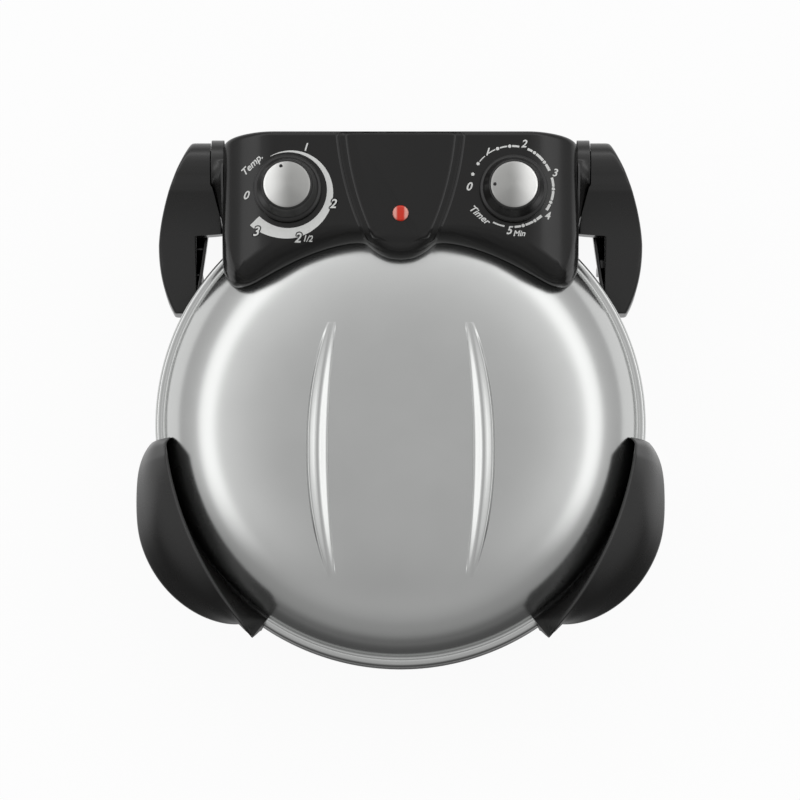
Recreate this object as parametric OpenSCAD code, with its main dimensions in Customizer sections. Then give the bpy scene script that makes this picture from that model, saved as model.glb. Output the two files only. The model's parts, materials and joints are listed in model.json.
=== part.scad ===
// Electric pizza maker: a round stone oven with a hinged dome lid, two rear
// hinge arms, front wing handles and a control housing with two dials.
// Millimetres, Z up, front towards -Y. The origin is on the table, under the
// middle of the whole object; the bowl's own axis stands at y = bowl_y.

/* [Rim and sheet metal] */
// Outer radius of the rim where lid and base meet
rim_r = 175; // [170:1:180]
// Height of the parting plane above the table
seam_z = 88; // [86:1:94]
// Gap between the lid's rim and the base's rim
seam_gap = 0.6; // [0.5:0.1:1]
// Thickness of the pressed steel sheet
sheet_t = 1; // [0.8:0.1:1.2]
// Height of the upright band round the base's rim
band_h = 8; // [7:0.5:9]
// Height of the upright skirt round the lid's rim
skirt_h = 12; // [11:0.5:14]
// Width of the flat ring between skirt and dome
ring_w = 7; // [6.5:0.5:8]
// Height of the dome above that ring
dome_h = 47; // [44:1:50]
// Depth of the bowl below its band
bowl_depth = 54; // [50:1:56]
// Step from the band in to the bowl's wall
bowl_step = 3; // [2:0.5:4]
// Radius of the service opening in the bowl's floor
service_r = 84; // [78:1:86]
// Height of the two ribs pressed into the lid
rib_rise = 2.2; // [1.5:0.1:3]

/* [Stone and liner] */
// Distance from the rim in to the stone's edge
stone_margin = 20; // [19.5:0.5:25]
// Thickness of the baking stone
stone_t = 12; // [10:0.5:14]
// Depth of the stone's face below the parting plane
stone_drop = 4; // [3:0.5:5]
// Gap round the stone
stone_gap = 3.5; // [2.5:0.5:4]
// Width of the ledge that the stone rests on
ledge_w = 9; // [7:0.5:10]
// Height of the heater space under the stone
heater_space = 20; // [17:0.5:21]

/* [Heating elements] */
// Diameter of the heating element's tube
element_d = 6.5; // [6:0.1:7]
// Distance from the rim in to the middle of the outer loop
outer_loop_margin = 63; // [60:1:67]
// Radius of the inner loop
inner_loop_r = 66; // [60:1:70]
// Distance between the two terminal legs
leg_pitch = 26; // [22:1:30]
// Width of each element clip
clip_w = 12; // [10:0.5:14]
// Wall of the ceramic bushes on the terminal legs
ceramic_t = 2; // [1.5:0.1:2.5]
// Height of the upper element's middle above the parting plane
upper_element_h = 30; // [29:0.5:31]

/* [Lid lining] */
// Distance from the rim in to the foot of the lid's reflector dome
reflector_margin = 19; // [18:1:23]
// Height of the lid's reflector dome
reflector_h = 34; // [33:0.5:35]
// Thickness of the reflector and liner sheet
liner_t = 0.8; // [0.7:0.1:1]

/* [Hinge] */
// Distance of the hinge axis behind the rim
hinge_back = 9.5; // [8.5:0.5:12]
// Height of the hinge axis above the parting plane
hinge_rise = 24; // [22:0.5:26]
// Radius of the round hubs on the housing
hub_r = 18; // [17:0.5:19]
// Length of each hub outside the housing's side
hub_len = 8.3; // [7:0.1:9]
// Radius of the flared part of each hub, next to the housing
hub_flare_r = 45; // [42:1:46]
// Diameter of the hinge pins
pin_d = 8; // [7:0.5:9]
// Radial running clearance of the pins in their bushes
pin_clear = 0.06; // [0.03:0.01:0.09]
// Wall of the bushes in the hubs
bush_t = 2; // [1.5:0.1:2.5]
// Radius of the arm's rounded top end
arm_end_r = 16; // [15:0.5:17]
// Wall thickness of the arm mouldings
arm_wall = 2.6; // [2.2:0.1:3]
// Running gap between arm and housing
arm_gap = 0.8; // [0.6:0.1:1.2]

/* [Control housing] */
// Overall width of the control housing
housing_w = 254; // [248:2:258]
// Height of the panel's flat top above the parting plane
panel_h = 68; // [66:1:72]
// Distance of the housing's back wall behind the hinge axis
housing_back = 13.2; // [12:0.2:14]
// Drop of the panel's top at its rounded sides
side_drop = 45; // [42:1:46]
// Width of the panel's rounded sides
side_round = 38; // [34:1:40]
// Wall thickness of the housing
housing_wall = 2.5; // [2.2:0.1:3]
// Height of the joint between panel and housing above the parting plane
panel_joint_h = 52; // [50:1:54]
// Lean of the housing's back wall
back_lean = 2.8; // [2:0.1:3.5]
// Distance of the housing's front corners in front of the hinge axis
corner_fore = 95.5; // [92.5:0.5:98.5]
// Distance of the housing's front edge, beside the fascia, in front of the hinge axis
front_fore = 63.5; // [60.5:0.5:66.5]
// Distance of the fascia's tongue in front of the hinge axis
tongue_fore = 75; // [72.5:0.5:77.5]
// Rise of the middle fascia above the panel
fascia_rise = 3; // [2:0.5:4]

/* [Dials] */
// Distance between the two dials
dial_pitch = 160; // [156:1:164]
// Distance of the dials in front of the hinge axis
dial_fore = 26.5; // [26:0.5:29]
// Radius of the knob's skirt
knob_r = 24.4; // [22:0.2:25]
// Radius of the metal cap on the knob
cap_r = 16.5; // [15:0.5:17.5]
// Height of the knob
knob_h = 18; // [16:0.5:20]
// Diameter of the dial shafts
shaft_d = 6; // [5:0.5:6.5]
// Running clearance of the dial shafts in their bushes
shaft_clear = 0.05; // [0.03:0.01:0.09]
// Radius of the pilot lamp's lens
lens_r = 5.7; // [5:0.1:6.5]

/* [Handles] */
// Widest reach of the lid handles beyond the rim
handle_reach = 30.5; // [28:0.5:32]
// Height of the lid handles' crest above the ring
crest_h = 28; // [24:1:30]
// Wall thickness of the handles
handle_wall = 3; // [2.6:0.1:3.4]
// How much less the base handles reach
base_handle_less = 11; // [9:0.5:13]
// Depth of the base handles' grip lip
base_handle_lip = 16; // [14:1:18]

/* [Feet and cord entry] */
// Thickness of the rubber pads
pad_t = 3; // [2.5:0.5:4]
// Radius of the front feet
foot_r = 15; // [13:0.5:17]
// Distance between the front feet
foot_pitch = 150; // [140:2:160]
// Distance of the front feet in front of the bowl's axis
foot_fore = 92; // [84:1:98]
// Depth of the rear frame, front to back
frame_depth = 40; // [36:1:42]
// Height of the rear frame's underside above the table
frame_z = 14; // [12:1:18]
// Bore radius of the cord gland
gland_bore_r = 3.7; // [3.2:0.1:4]
// Length of the cord gland
gland_len = 10; // [9:0.5:12]

/* [Hidden] */
$fn = 96;

fit = 0.3;                                  // clearance between parts that seat on each other
hole_fit = 0.15;                            // radial clearance of a screw in its hole
stone_r = rim_r - stone_margin;             // baking stone
outer_loop_r = rim_r - outer_loop_margin;
reflector_r = rim_r - reflector_margin;
lid_z = seam_z + seam_gap;                  // lower edge of the lid
ring_z = lid_z + skirt_h;                   // top face of the lid's ring
dome_r = rim_r - ring_w;                    // foot of the dome
crown_z = ring_z + dome_h;                  // top of the dome
hinge_y = rim_r + hinge_back;               // hinge axis, from the bowl's axis
hinge_z = seam_z + hinge_rise;
corner_y = hinge_y - corner_fore;           // plan of the control housing
front_y = hinge_y - front_fore;
tongue_y = hinge_y - tongue_fore;
bowl_y = (rim_r - hinge_y - hub_r) / 2;     // the bowl's axis, so that the object is centred
bowl_r = rim_r - bowl_step;
bowl_top = seam_z - band_h;
panel_z = seam_z + panel_h;
joint_z = seam_z + panel_joint_h;
housing_x = housing_w / 2;
housing_y1 = hinge_y + housing_back;
arm_in = housing_x + arm_gap;
hub_x = housing_x + hub_len;
frame_y1 = hinge_y + 7.5;
frame_y0 = frame_y1 - frame_depth;
frame_top = bowl_top - 2;
dial_x = dial_pitch / 2;
dial_y = hinge_y - dial_fore;
element_r = element_d / 2;
stone_z = seam_z - stone_drop - stone_t;    // underside of the stone
liner_floor = stone_z - heater_space;       // top face of the liner's floor
liner_in = stone_r + stone_gap;             // liner wall round the stone
lower_element_z = stone_z - heater_space / 2;
upper_element_z = seam_z + upper_element_h;
reflector_z = ring_z - sheet_t - liner_t;   // foot of the reflector's dome
screw_r = 1.5;                              // small screws
screw_head = 2.6;
head_gap = 0.1;                             // a flat screw head's edge stands off a round wall
ring_in = dome_r;                           // inner edge of the lid's ring
ear_from = 4.6;                             // angles from the side, towards the front
ear_to = 53;
grip_from = 6;
grip_to = 57.4;
grip_screw_a = [20, 42];
lid_grip_z = lid_z + 6;
base_grip_z = seam_z - 4;
arm_screw_a = 30;                           // angle of the arms' front ends
arm_screw_z = bowl_top - 9;
arm_tip_x = housing_x + 35;                 // front end of an arm
arm_tip_y = hinge_y - 101.5;
arm_step_y = hinge_y - 48.5;                // front edge of an arm's wide part
arm_low_x = housing_x + 12;                 // inner face of its low front part
arm_strip_x = housing_x + 19.8;             // inner edge of the strip above that
arm_low_z = 38;
leg_y0 = frame_y0 + 6;
leg_y1 = frame_y1 - 2;
leg_z = pad_t;
frame_x = housing_x;
frame_wall = 2.6;
frame_screw_y = frame_y0 + 22;
frame_screw_z = [36, 60];
foot_skin_z = bowl_top - dome_height(norm([foot_pitch / 2, foot_fore]), bowl_r, bowl_depth);
gland_x = -70;
gland_z = frame_z + 24;
gland_r = gland_bore_r + 2.6;
base_leg_end = bowl_r + 2;
lid_leg_end = rim_r - 9;
pin_len = 9;                                // bare ends of the element's terminals
pin_r = 1.5;
bush_in = 14;                               // reach of the bushes inside the housing
pin_x0 = housing_x - 10;
wire_r = 1.3;
probe_r = 1;
bulb_r = 3;
probe_z = ring_z + 8;
probe_y = dial_y - 60;                      // where the thermostat's thin tube turns to the back
housing_z = ring_z - 2.5;                   // underside of the housing's floor
nut_r = 5;                                  // threaded collars of the controls
lens_y = hinge_y - 44.5;
rib_mid_y = -26;                            // plan of the lid's two ribs
rib_half = rim_r - 85;
rib_end_x = 50;
knob_gap = 0.4;                             // running gap under a knob
temp_pointer = 18;                          // pointer's turn from the back, anticlockwise
timer_pointer = 90;

STEEL = [0.72, 0.72, 0.71];
BRIGHT = [0.82, 0.82, 0.83];
BLACK = [0.13, 0.13, 0.13];
SCREW = [0.55, 0.56, 0.58];
STONE = [0.80, 0.75, 0.66];
WOOL = [0.88, 0.86, 0.78];
CERAMIC = [0.92, 0.91, 0.87];
ELEMENT = [0.30, 0.29, 0.28];
RUBBER = [0.08, 0.08, 0.08];
LENS = [0.86, 0.16, 0.08];
WIRE = [0.75, 0.30, 0.25];

// ---- shapes that repeat ----

// Profile of a dome: radius grows with the root of the sine, height falls with the cosine.
function dome(r, h, z = 0, steps = 20) =
    [for (i = [0:steps]) let (a = 90 * i / steps) [r * pow(sin(a), 0.5), z + h * pow(cos(a), 1.25)]];
// Height of such a dome at radius q.
function dome_height(q, r, h) = h * pow(max(0, 1 - pow(q / r, 4)), 0.625);
// Radius of such a dome at height k.
function dome_radius(k, r, h) = r * pow(max(0, 1 - pow(k / h, 1.6)), 0.25);
function flip(pts) = [for (i = [len(pts) - 1:-1:0]) pts[i]];
// Quadratic curve from a to c, pulled towards b.
function curve(a, b, c, steps = 8) =
    [for (i = [0:steps]) let (t = i / steps) (1 - t) * (1 - t) * a + 2 * t * (1 - t) * b + t * t * c];

module at_bowl() {
    translate([0, bowl_y, 0]) children();
}

module turned(pts) {
    rotate_extrude() polygon(pts);
}

// A bar along X between two places.
module bar_x(x0, x1, r) {
    translate([x0, 0, 0]) rotate([0, 90, 0]) cylinder(r = r, h = x1 - x0);
}

// A bar along Y between two places.
module bar_y(y0, y1, r) {
    translate([0, y0, 0]) rotate([-90, 0, 0]) cylinder(r = r, h = y1 - y0);
}

// A tube bent to part of a circle.
module ring_tube(loop_r, tube_r, from, sweep) {
    rotate([0, 0, from]) rotate_extrude(angle = sweep) translate([loop_r, 0])
        circle(r = tube_r, $fn = 32);
}

// A pan-head screw: head above z = 0, shank below.
module screw(shank_r, length, head_r) {
    cylinder(r = head_r, h = head_r * 0.6);
    translate([0, 0, -length]) cylinder(r = shank_r, h = length);
}

// A solid whose cross-section changes from station to station. Each station is a ring of points.
module loft(rings) {
    n = len(rings[0]);
    m = len(rings);
    points = [for (ring = rings) for (p = ring) p];
    sides = [for (i = [0:m - 2]) for (j = [0:n - 1]) let (k = (j + 1) % n)
        each [[i * n + j, i * n + k, (i + 1) * n + k], [i * n + j, (i + 1) * n + k, (i + 1) * n + j]]];
    first = [for (j = [n - 1:-1:0]) j];
    last = [for (j = [0:n - 1]) (m - 1) * n + j];
    polyhedron(points = points, faces = concat(sides, [first, last]));
}

function unit(v) = v / norm(v);

// A round tube through a list of points; the fourth number of each point is the radius there.
module tube(way, sides, up = [0, 0, 1]) {
    n = len(way);
    function at(i) = [way[i][0], way[i][1], way[i][2]];
    loft([for (i = [0:n - 1]) let (
        t = unit(at(min(i + 1, n - 1)) - at(max(i - 1, 0))),
        u = unit(cross(t, up)), v = cross(u, t))
        [for (k = [0:sides - 1])
            at(i) + way[i][3] * (cos(360 * k / sides) * u + sin(360 * k / sides) * v)]]);
}

// ---- base: sheet metal, stone and heater ----

function bowl_wall(inset) = dome(bowl_r - inset, -bowl_depth, bowl_top + inset);

module bowl_solid(grow) {
    turned(concat(dome(bowl_r + grow, -bowl_depth, bowl_top - grow),
        [[bowl_r + grow, seam_z], [0, seam_z]]));
}

module base_bowl() {
    flange_in = rim_r - 9;
    color(STEEL) at_bowl() difference() {
        turned(concat(
            bowl_wall(0),
            [[rim_r, bowl_top], [rim_r, seam_z], [flange_in, seam_z], [flange_in, seam_z - sheet_t],
             [rim_r - sheet_t, seam_z - sheet_t], [rim_r - sheet_t, bowl_top + sheet_t]],
            flip(bowl_wall(sheet_t))));
        translate([0, 0, bowl_top - bowl_depth - 5]) cylinder(r = service_r, h = 15);
        for (s = [-1, 1]) translate([s * leg_pitch / 2, 0, lower_element_z])
            bar_y(stone_r - 35, rim_r, element_r + ceramic_t + fit);
        each_arm_screw() screw_hole();
        each_foot_screw() screw_hole();
        each_cover_screw() screw_hole();
        for (s = [-1, 1]) each_grip_screw(s, base_grip_z) screw_hole();
    }
}

module liner_pan() {
    wall_foot = liner_in - ledge_w;
    rim = seam_z - sheet_t;
    floor_r = wall_foot - 8;
    color(BRIGHT) at_bowl() difference() {
        turned([
            [0, liner_floor], [floor_r, liner_floor], [wall_foot, stone_z], [liner_in, stone_z],
            [liner_in, rim - 3], [liner_in + 2, rim], [rim_r - sheet_t - 2, rim],
            [rim_r - sheet_t - 2, rim - liner_t], [liner_in + 2.6, rim - liner_t],
            [liner_in + liner_t, rim - 3.2], [liner_in + liner_t, stone_z - liner_t],
            [wall_foot + liner_t, stone_z - liner_t], [floor_r + 0.4, liner_floor - liner_t],
            [0, liner_floor - liner_t]]);
        for (s = [-1, 1]) translate([s * leg_pitch / 2, 0, lower_element_z])
            bar_y(stone_r - 35, rim_r - 10, element_r + ceramic_t + fit);
        for (a = [45:90:315]) rotate([0, 0, a]) translate([inner_loop_r + 23, 0, liner_floor])
            cylinder(r = 2, h = 4, center = true);
    }
}

module stone_plate() {
    edge = 1.2;
    color(STONE) at_bowl() turned([
        [0, stone_z], [stone_r - edge, stone_z], [stone_r, stone_z + edge],
        [stone_r, stone_z + stone_t - edge], [stone_r - edge, stone_z + stone_t],
            [0, stone_z + stone_t]]);
}

// Bent steel tabs that keep the stone down, in the gap round it.
module stone_clips() {
    top = stone_z + stone_t;
    x0 = stone_r + fit + 0.4;
    color(BRIGHT) at_bowl() for (a = [0:90:270]) rotate([0, 0, a]) {
        translate([x0, -6, stone_z]) cube([1, 12, stone_t + 1]);
        translate([stone_r - 5, -6, top]) cube([x0 - stone_r + 6, 12, 1]);
    }
}

// Way of an element: leg, inner loop, half turn, outer loop and leg back. Each point ends with the
// tube's radius.
function element_way(leg_end) = let (
    x = leg_pitch / 2,
    bend = (outer_loop_r - inner_loop_r) / 2,
    middle = (outer_loop_r + inner_loop_r) / 2,
    turn = asin((x + bend + element_d + 5) / middle),
    in_a = 90 - asin(x / inner_loop_r) + 12,
    out_a = -270 + asin(x / outer_loop_r) + 8,
    out = [cos(90 - turn), sin(90 - turn)],
    side = [-sin(90 - turn), cos(90 - turn)],
    way = concat(
        [[x, leg_end - 0.2]],
        curve([x, inner_loop_r + 14], [x, inner_loop_r], inner_loop_r * [cos(in_a), sin(in_a)], 4),
        [for (i = [1:30]) let (a = in_a + (450 - turn - in_a) * i / 30)
            inner_loop_r * [cos(a), sin(a)]],
        [for (a = [20:20:160]) middle * out + bend * (sin(a) * side - cos(a) * out)],
        [for (i = [0:36]) let (a = 90 - turn + (out_a - 90 + turn) * i / 36)
            outer_loop_r * [cos(a), sin(a)]],
        curve(outer_loop_r * [cos(out_a - 3), sin(out_a - 3)], [-x, outer_loop_r],
            [-x, outer_loop_r + 14], 4),
        [[-x, leg_end - 0.2]]))
    concat([[x, leg_end + pin_len, 0, pin_r], [x, leg_end, 0, pin_r]],
        [for (p = way) [p[0], p[1], 0, element_r]],
        [[-x, leg_end, 0, pin_r], [-x, leg_end + pin_len, 0, pin_r]]);

module heating_element(leg_end) {
    tube(element_way(leg_end), 12);
}

// A bent strip that holds both loops: foot on the sheet at z = 0, saddles over the tube.
module element_clip(height) {
    top = height + element_r + fit + 1;
    middle = (outer_loop_r + inner_loop_r) / 2;
    translate([middle - 3, -clip_w / 2, 0]) cube([6, clip_w, top]);
    for (r = [inner_loop_r, outer_loop_r]) difference() {
        translate([min(r - clip_w / 2, middle - 3), -clip_w / 2, height - 1])
            cube([abs(r - middle) + clip_w / 2 + 3, clip_w, top - height + 1]);
        ring_tube_gap(r, height);
    }
}

module ring_tube_gap(r, height) {
    translate([0, 0, height]) ring_tube(r, element_r + fit, -12, 24);
    translate([r - element_r - fit, -clip_w, height - 2]) cube([element_d + 2 * fit, 2 * clip_w, 2]);
}

module ceramic_bushes(y0, y1, z) {
    for (s = [-1, 1]) translate([s * leg_pitch / 2, 0, z]) difference() {
        bar_y(y0, y1, element_r + ceramic_t);
        bar_y(y0 - 1, y1 + 1, element_r + pin_clear);
    }
}

module lower_element() {
    color(ELEMENT) at_bowl() translate([0, 0, lower_element_z]) heating_element(base_leg_end);
}

module lower_element_clips() {
    color(BRIGHT) at_bowl() for (a = [45:90:315]) rotate([0, 0, a])
        translate([0, 0, liner_floor]) element_clip(lower_element_z - liner_floor);
}

module lower_ceramic_bushes() {
    color(CERAMIC) at_bowl() ceramic_bushes(liner_in - ledge_w - 3, base_leg_end, lower_element_z);
}

module base_insulation() {
    top = liner_floor - liner_t - fit;
    floor_z = bowl_top - bowl_depth + 3;
    r = service_r + 12;
    color(WOOL) at_bowl() turned([[0, floor_z], [service_r - 6, floor_z], [service_r + 4, floor_z + 10],
        [r, floor_z + 12], [r, top], [0, top]]);
}

module bottom_cover() {
    z = bowl_top - bowl_depth * 0.985;
    color(STEEL) at_bowl() difference() {
        turned([[0, z - 2.5], [service_r - 16, z - 2.5], [service_r - 13, z - 1],
            [service_r + 8, z - 1],
            [service_r + 8, z - 2], [service_r - 12.5, z - 2], [service_r - 15.5, z - 3.5],
                [0, z - 3.5]]);
        each_cover_screw() cylinder(r = screw_r + hole_fit, h = 30, center = true);
    }
}

module each_cover_screw() {
    for (a = [30:60:330]) rotate([0, 0, a]) translate([service_r + 4, 0, bowl_top - bowl_depth])
        children();
}

module bottom_cover_screws() {
    z = -bowl_depth * 0.985 + bowl_depth - 2;
    color(SCREW) at_bowl() each_cover_screw() translate([0, 0, z]) mirror([0, 0, 1])
        screw(screw_r, 5, screw_head);
}

// ---- places of the screws ----

module screw_hole() {
    cylinder(r = screw_r + hole_fit, h = 16, center = true);
}

// Radial screws through the bowl into the front ends of the arms.
module each_arm_screw() {
    for (s = [-1, 1]) rotate([0, 0, 90 - s * (90 - arm_screw_a)])
        translate([bowl_r - 5.5 - head_gap, 0, arm_screw_z]) rotate([0, -90, 0]) children();
}

module each_foot_screw() {
    for (s = [-1, 1]) translate([s * foot_pitch / 2, -foot_fore, foot_skin_z]) children();
}

// Radial screws through the rim into a handle; s is -1 on the left and 1 on the right.
module each_grip_screw(s, z) {
    for (a = grip_screw_a) rotate([0, 0, -90 + s * (90 - a)])
        translate([rim_r - sheet_t - head_gap, 0, z]) rotate([0, -90, 0]) children();
}

// ---- handles ----

// Reach of a handle's lower edge at angle a from the side, and radius and height of its crest.
function ear_share(a) = let (v = min(1, max(0, (a - ear_from) / (ear_to - ear_from))))
    max(0.16, pow(sin(180 * pow(v, 1.15)), 0.6));
function ear_r(a) = rim_r + handle_reach * ear_share(a);
function crest_r(a) = ring_in + 24.5 * pow(max(0, a - 8.4) / 49, 1.5);
function crest_z(a) = ring_z + crest_h * pow(min(1, max(0.02, (a - grip_from) / 7)), 0.55);
function at_angle(a, r, z) = [-r * cos(a), -r * sin(a), z];

function lid_section(a) = let (
    e = ear_r(a), c = crest_r(a), h = crest_z(a), w = handle_wall, foot = ring_in + 0.6,
    low = ring_z - 8, mount = rim_r + fit, roof = ring_z + (h - ring_z) * 0.55,
    shape = [[foot, ring_z + fit], [max(c - 1.2, foot - 12 * (h - ring_z) / crest_h + 1), h - 1.2],
        [c - 0.2, h], [c + 1, h - 0.6],
        [(c + e) / 2 + 2.5, (h + low) / 2 + 3], [e, low + 1], [e, low - 3], [e - 1.4, low - 3.6],
        [e - w, low], [max((c + e) / 2 - w + 2.5, mount + w + 0.3), min(roof, (h + low) / 2 + 0.5)],
        [mount + w, min(roof - 3, ring_z + 5)], [mount + w, lid_z + 2], [mount, lid_z + 2],
        [mount, ring_z + fit]])
    [for (p = shape) at_angle(a, p[0], p[1])];

function grip_angles(from, to, steps) = [for (i = [0:steps]) from + (to - from) * i / steps];

module lid_handle() {
    rings = [for (a = grip_angles(grip_from, grip_to, 26)) lid_section(a)];
    difference() {
        loft(rings);
        each_grip_screw(-1, lid_grip_z) cylinder(r = screw_r + hole_fit, h = 2 * handle_wall + 4,
            center = true);
    }
}

function base_section(a) = let (
    e = rim_r + max(handle_wall + 3, (handle_reach - base_handle_less) * ear_share(a)),
    w = handle_wall, top = seam_z - 1, mount = rim_r + fit, low = top - base_handle_lip,
    shape = [[mount, top], [e - 3, top], [e - 0.8, top - 0.9], [e, top - 3], [e - 1, low + 1],
        [e - 2, low], [e - w + 0.5, low], [e - w + 0.2, low + 2], [e - w + 0.2, top - w],
            [mount + w, top - w],
        [mount + w, low + 4], [mount, low + 4]])
    [for (p = shape) at_angle(a, p[0], p[1])];

module base_handle() {
    rings = [for (a = grip_angles(grip_from + 1, ear_to, 22)) base_section(a)];
    difference() {
        loft(rings);
        each_grip_screw(-1, base_grip_z) cylinder(r = screw_r + hole_fit, h = 2 * handle_wall + 4,
            center = true);
    }
}

module base_handle_left() {
    color(BLACK) at_bowl() base_handle();
}

module base_handle_right() {
    color(BLACK) at_bowl() mirror([1, 0, 0]) base_handle();
}

module lid_handle_left() {
    color(BLACK) at_bowl() lid_handle();
}

module lid_handle_right() {
    color(BLACK) at_bowl() mirror([1, 0, 0]) lid_handle();
}

module base_handle_screws() {
    color(SCREW) at_bowl() for (s = [-1, 1]) each_grip_screw(s, base_grip_z)
        screw(screw_r, handle_wall + 2, screw_head);
}

module lid_handle_screws() {
    color(SCREW) at_bowl() for (s = [-1, 1]) each_grip_screw(s, lid_grip_z)
        screw(screw_r, handle_wall + 2, screw_head);
}

// ---- rear arms, pins and frame ----

// Outline of the right arm from above.
function arm_plan(inset) = concat(
    [[arm_in + inset, hinge_y + arm_end_r - inset], [hub_x + 14 - inset, hinge_y + arm_end_r - inset]],
    curve([hub_x + 20 - inset, hinge_y + 2], [hub_x + 34 - inset, hinge_y - 34],
        [hub_x + 37 - inset, hinge_y - 62], 8),
    [[hub_x + 36 - inset, hinge_y - 80], [hub_x + 33 - inset, hinge_y - 91]],
    [[arm_tip_x - inset, arm_tip_y + inset], [arm_tip_x - 7 + inset, arm_tip_y + inset],
     [arm_low_x + 5 + inset, arm_step_y - 38], [arm_low_x + inset, arm_step_y + inset],
     [arm_in + inset, arm_step_y + inset]]);

// Outline of an arm from the side: round top end, sloping back, leg down to the pad.
function arm_side(inset) = concat(
    [[leg_y1 - inset, leg_z], [frame_y1 + 1 - inset, frame_top]],
    [for (a = [-10:12:128]) [hinge_y + (arm_end_r - inset) * cos(a),
        hinge_z + (arm_end_r - inset) * sin(a)]],
    curve([hinge_y - 20, hinge_z + 7 - inset], [hinge_y - 44, hinge_z - 14 - inset],
        [hinge_y - 70, hinge_z - 22 - inset], 6),
    [[arm_tip_y + inset, bowl_top - 2 - inset], [arm_tip_y + inset, arm_low_z + 22],
     [arm_step_y - 25, arm_low_z + inset], [leg_y0 + 6 + inset, arm_low_z - 12],
         [leg_y0 + inset, leg_z]]);

module arm_block(x0, x1, inset) {
    intersection() {
        linear_extrude(height = 300) polygon(arm_plan(inset));
        translate([x0, 0, 0]) rotate([90, 0, 90]) linear_extrude(height = x1 - x0)
            polygon(arm_side(inset));
    }
}

module hub(grow = 0) {
    bar_x(housing_x - 9, hub_x + grow, hub_r + grow);
}

// Wide foot of the hub on the housing's side.
module hub_flare(grow) {
    x = housing_x - 0.5;
    r = hub_flare_r + grow;
    translate([x, 0, 0]) rotate([0, 90, 0]) turned([[0, -2], [r, -2], [r, 0.5 + grow],
        [r - 12, 2.6 + grow],
        [r - 22, 5.4 + grow], [hub_r + grow, 7.4 + grow], [0, 7.4 + grow]]);
}

module arm(ribs) {
    w = arm_wall;
    difference() {
        arm_block(arm_in, rim_r + 20, 0);
        // pocket for the hub
        translate([0, hinge_y, hinge_z]) {
            hub(arm_gap);
            hub_flare(arm_gap);
        }
        // bowl, rim and lid
        bowl_solid(fit);
        translate([0, 0, bowl_top - fit]) cylinder(r = rim_r + fit, h = seam_gap / 2 + band_h + fit);
        translate([0, 0, seam_z - 2]) cylinder(r = rim_r + 1.5, h = 60);
        // hollow leg under the hinge
        difference() {
            intersection() {
                arm_block(arm_in - 1, rim_r + 20, w);
                translate([arm_in + w, arm_step_y + 4 + w, 0])
                    cube([60, 80, hinge_z - hub_flare_r * 0.55 - w]);
            }
            translate([arm_in, hinge_y - 28, 0]) cube([50, 2, 200]);
        }
        // trough along the inner side of the front part, open upwards, with cross ribs
        difference() {
            translate([0, 0, arm_low_z + 12]) linear_extrude(height = 80) polygon([
                [arm_low_x + w, arm_step_y - 1], [arm_low_x + 5 + w, arm_step_y - 38],
                [arm_strip_x + 2.5, arm_step_y - 38], [arm_strip_x, arm_step_y - 1]]);
            for (rib = ribs) translate([arm_low_x, rib[0], 0]) cube([20, rib[1], arm_low_z + 42]);
        }
        translate([0, 0, arm_low_z + 47]) linear_extrude(height = 80) polygon([
            [arm_low_x - 10, arm_step_y - 1], [arm_low_x - 4, arm_step_y - 60],
            [arm_strip_x + 2.5, arm_step_y - 50], [arm_strip_x, arm_step_y - 1]]);
        // pin hole
        translate([0, hinge_y, hinge_z]) bar_x(arm_in - 1, hub_x + 12, pin_d / 2);
        each_arm_screw() screw_hole();
        for (z = frame_screw_z) translate([0, frame_screw_y, z])
            bar_x(100, arm_in + w + 1, screw_r + hole_fit);
    }
}

module hinge_arm_right() {
    color(BLACK) at_bowl() arm([[arm_step_y - 20, 6], [arm_step_y - 33, 1.6]]);
}

module hinge_arm_left() {
    color(BLACK) at_bowl() mirror([1, 0, 0]) arm([[arm_step_y - 7, 1.6], [arm_step_y - 26, 1.6]]);
}

module arm_screws() {
    color(SCREW) at_bowl() {
        each_arm_screw() screw(screw_r, 7.5, screw_head);
        for (s = [0, 1], z = frame_screw_z) mirror([s, 0, 0])
            translate([frame_x - frame_wall, frame_screw_y, z]) rotate([0, -90, 0])
                screw(screw_r, 6, screw_head);
    }
}

module arm_pads() {
    color(RUBBER) at_bowl() for (s = [0, 1]) mirror([s, 0, 0])
        translate([arm_in + 4, leg_y0 + 3, 0]) cube([18, leg_y1 - leg_y0 - 6, pad_t]);
}

module hinge_pins() {
    x1 = hub_x + 12;
    color(SCREW) at_bowl() for (s = [0, 1]) mirror([s, 0, 0]) translate([0, hinge_y, hinge_z])
        bar_x(pin_x0, x1, pin_d / 2);
}

module frame_box(inset) {
    translate([-frame_x + inset, frame_y0 + inset, frame_z - 1])
        cube([2 * (frame_x - inset), frame_depth - 2 * inset, frame_top - frame_z + 1 - inset]);
}

module rear_frame() {
    color(BLACK) at_bowl() difference() {
        frame_box(0);
        difference() {
            frame_box(frame_wall);
            bowl_solid(fit + frame_wall);
        }
        translate([-200, 0, 0]) cube([400, 400, frame_z + 2]);
        bowl_solid(fit);
        for (s = [-1, 1]) translate([s * leg_pitch / 2, 0, lower_element_z])
            bar_y(stone_r - 35, base_leg_end + 1, element_r + ceramic_t + fit);
        for (z = frame_screw_z) translate([0, frame_screw_y, z]) bar_x(-200, 200, screw_r + hole_fit);
        translate([gland_x, 0, gland_z]) bar_y(frame_y1 - 10, frame_y1 + 1, gland_r);
    }
}

module rear_frame_cover() {
    color(BLACK) at_bowl() difference() {
        translate([-frame_x, frame_y0, frame_z]) cube([2 * frame_x, frame_depth, 2]);
        each_frame_screw() cylinder(r = screw_r + hole_fit, h = 30, center = true);
    }
}

module each_frame_screw() {
    for (x = [-1, 1], y = [0, 1]) translate([x * (frame_x - 8), y == 0 ? frame_y0 + 8 : frame_y1 - 8,
        frame_z])
        children();
}

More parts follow.
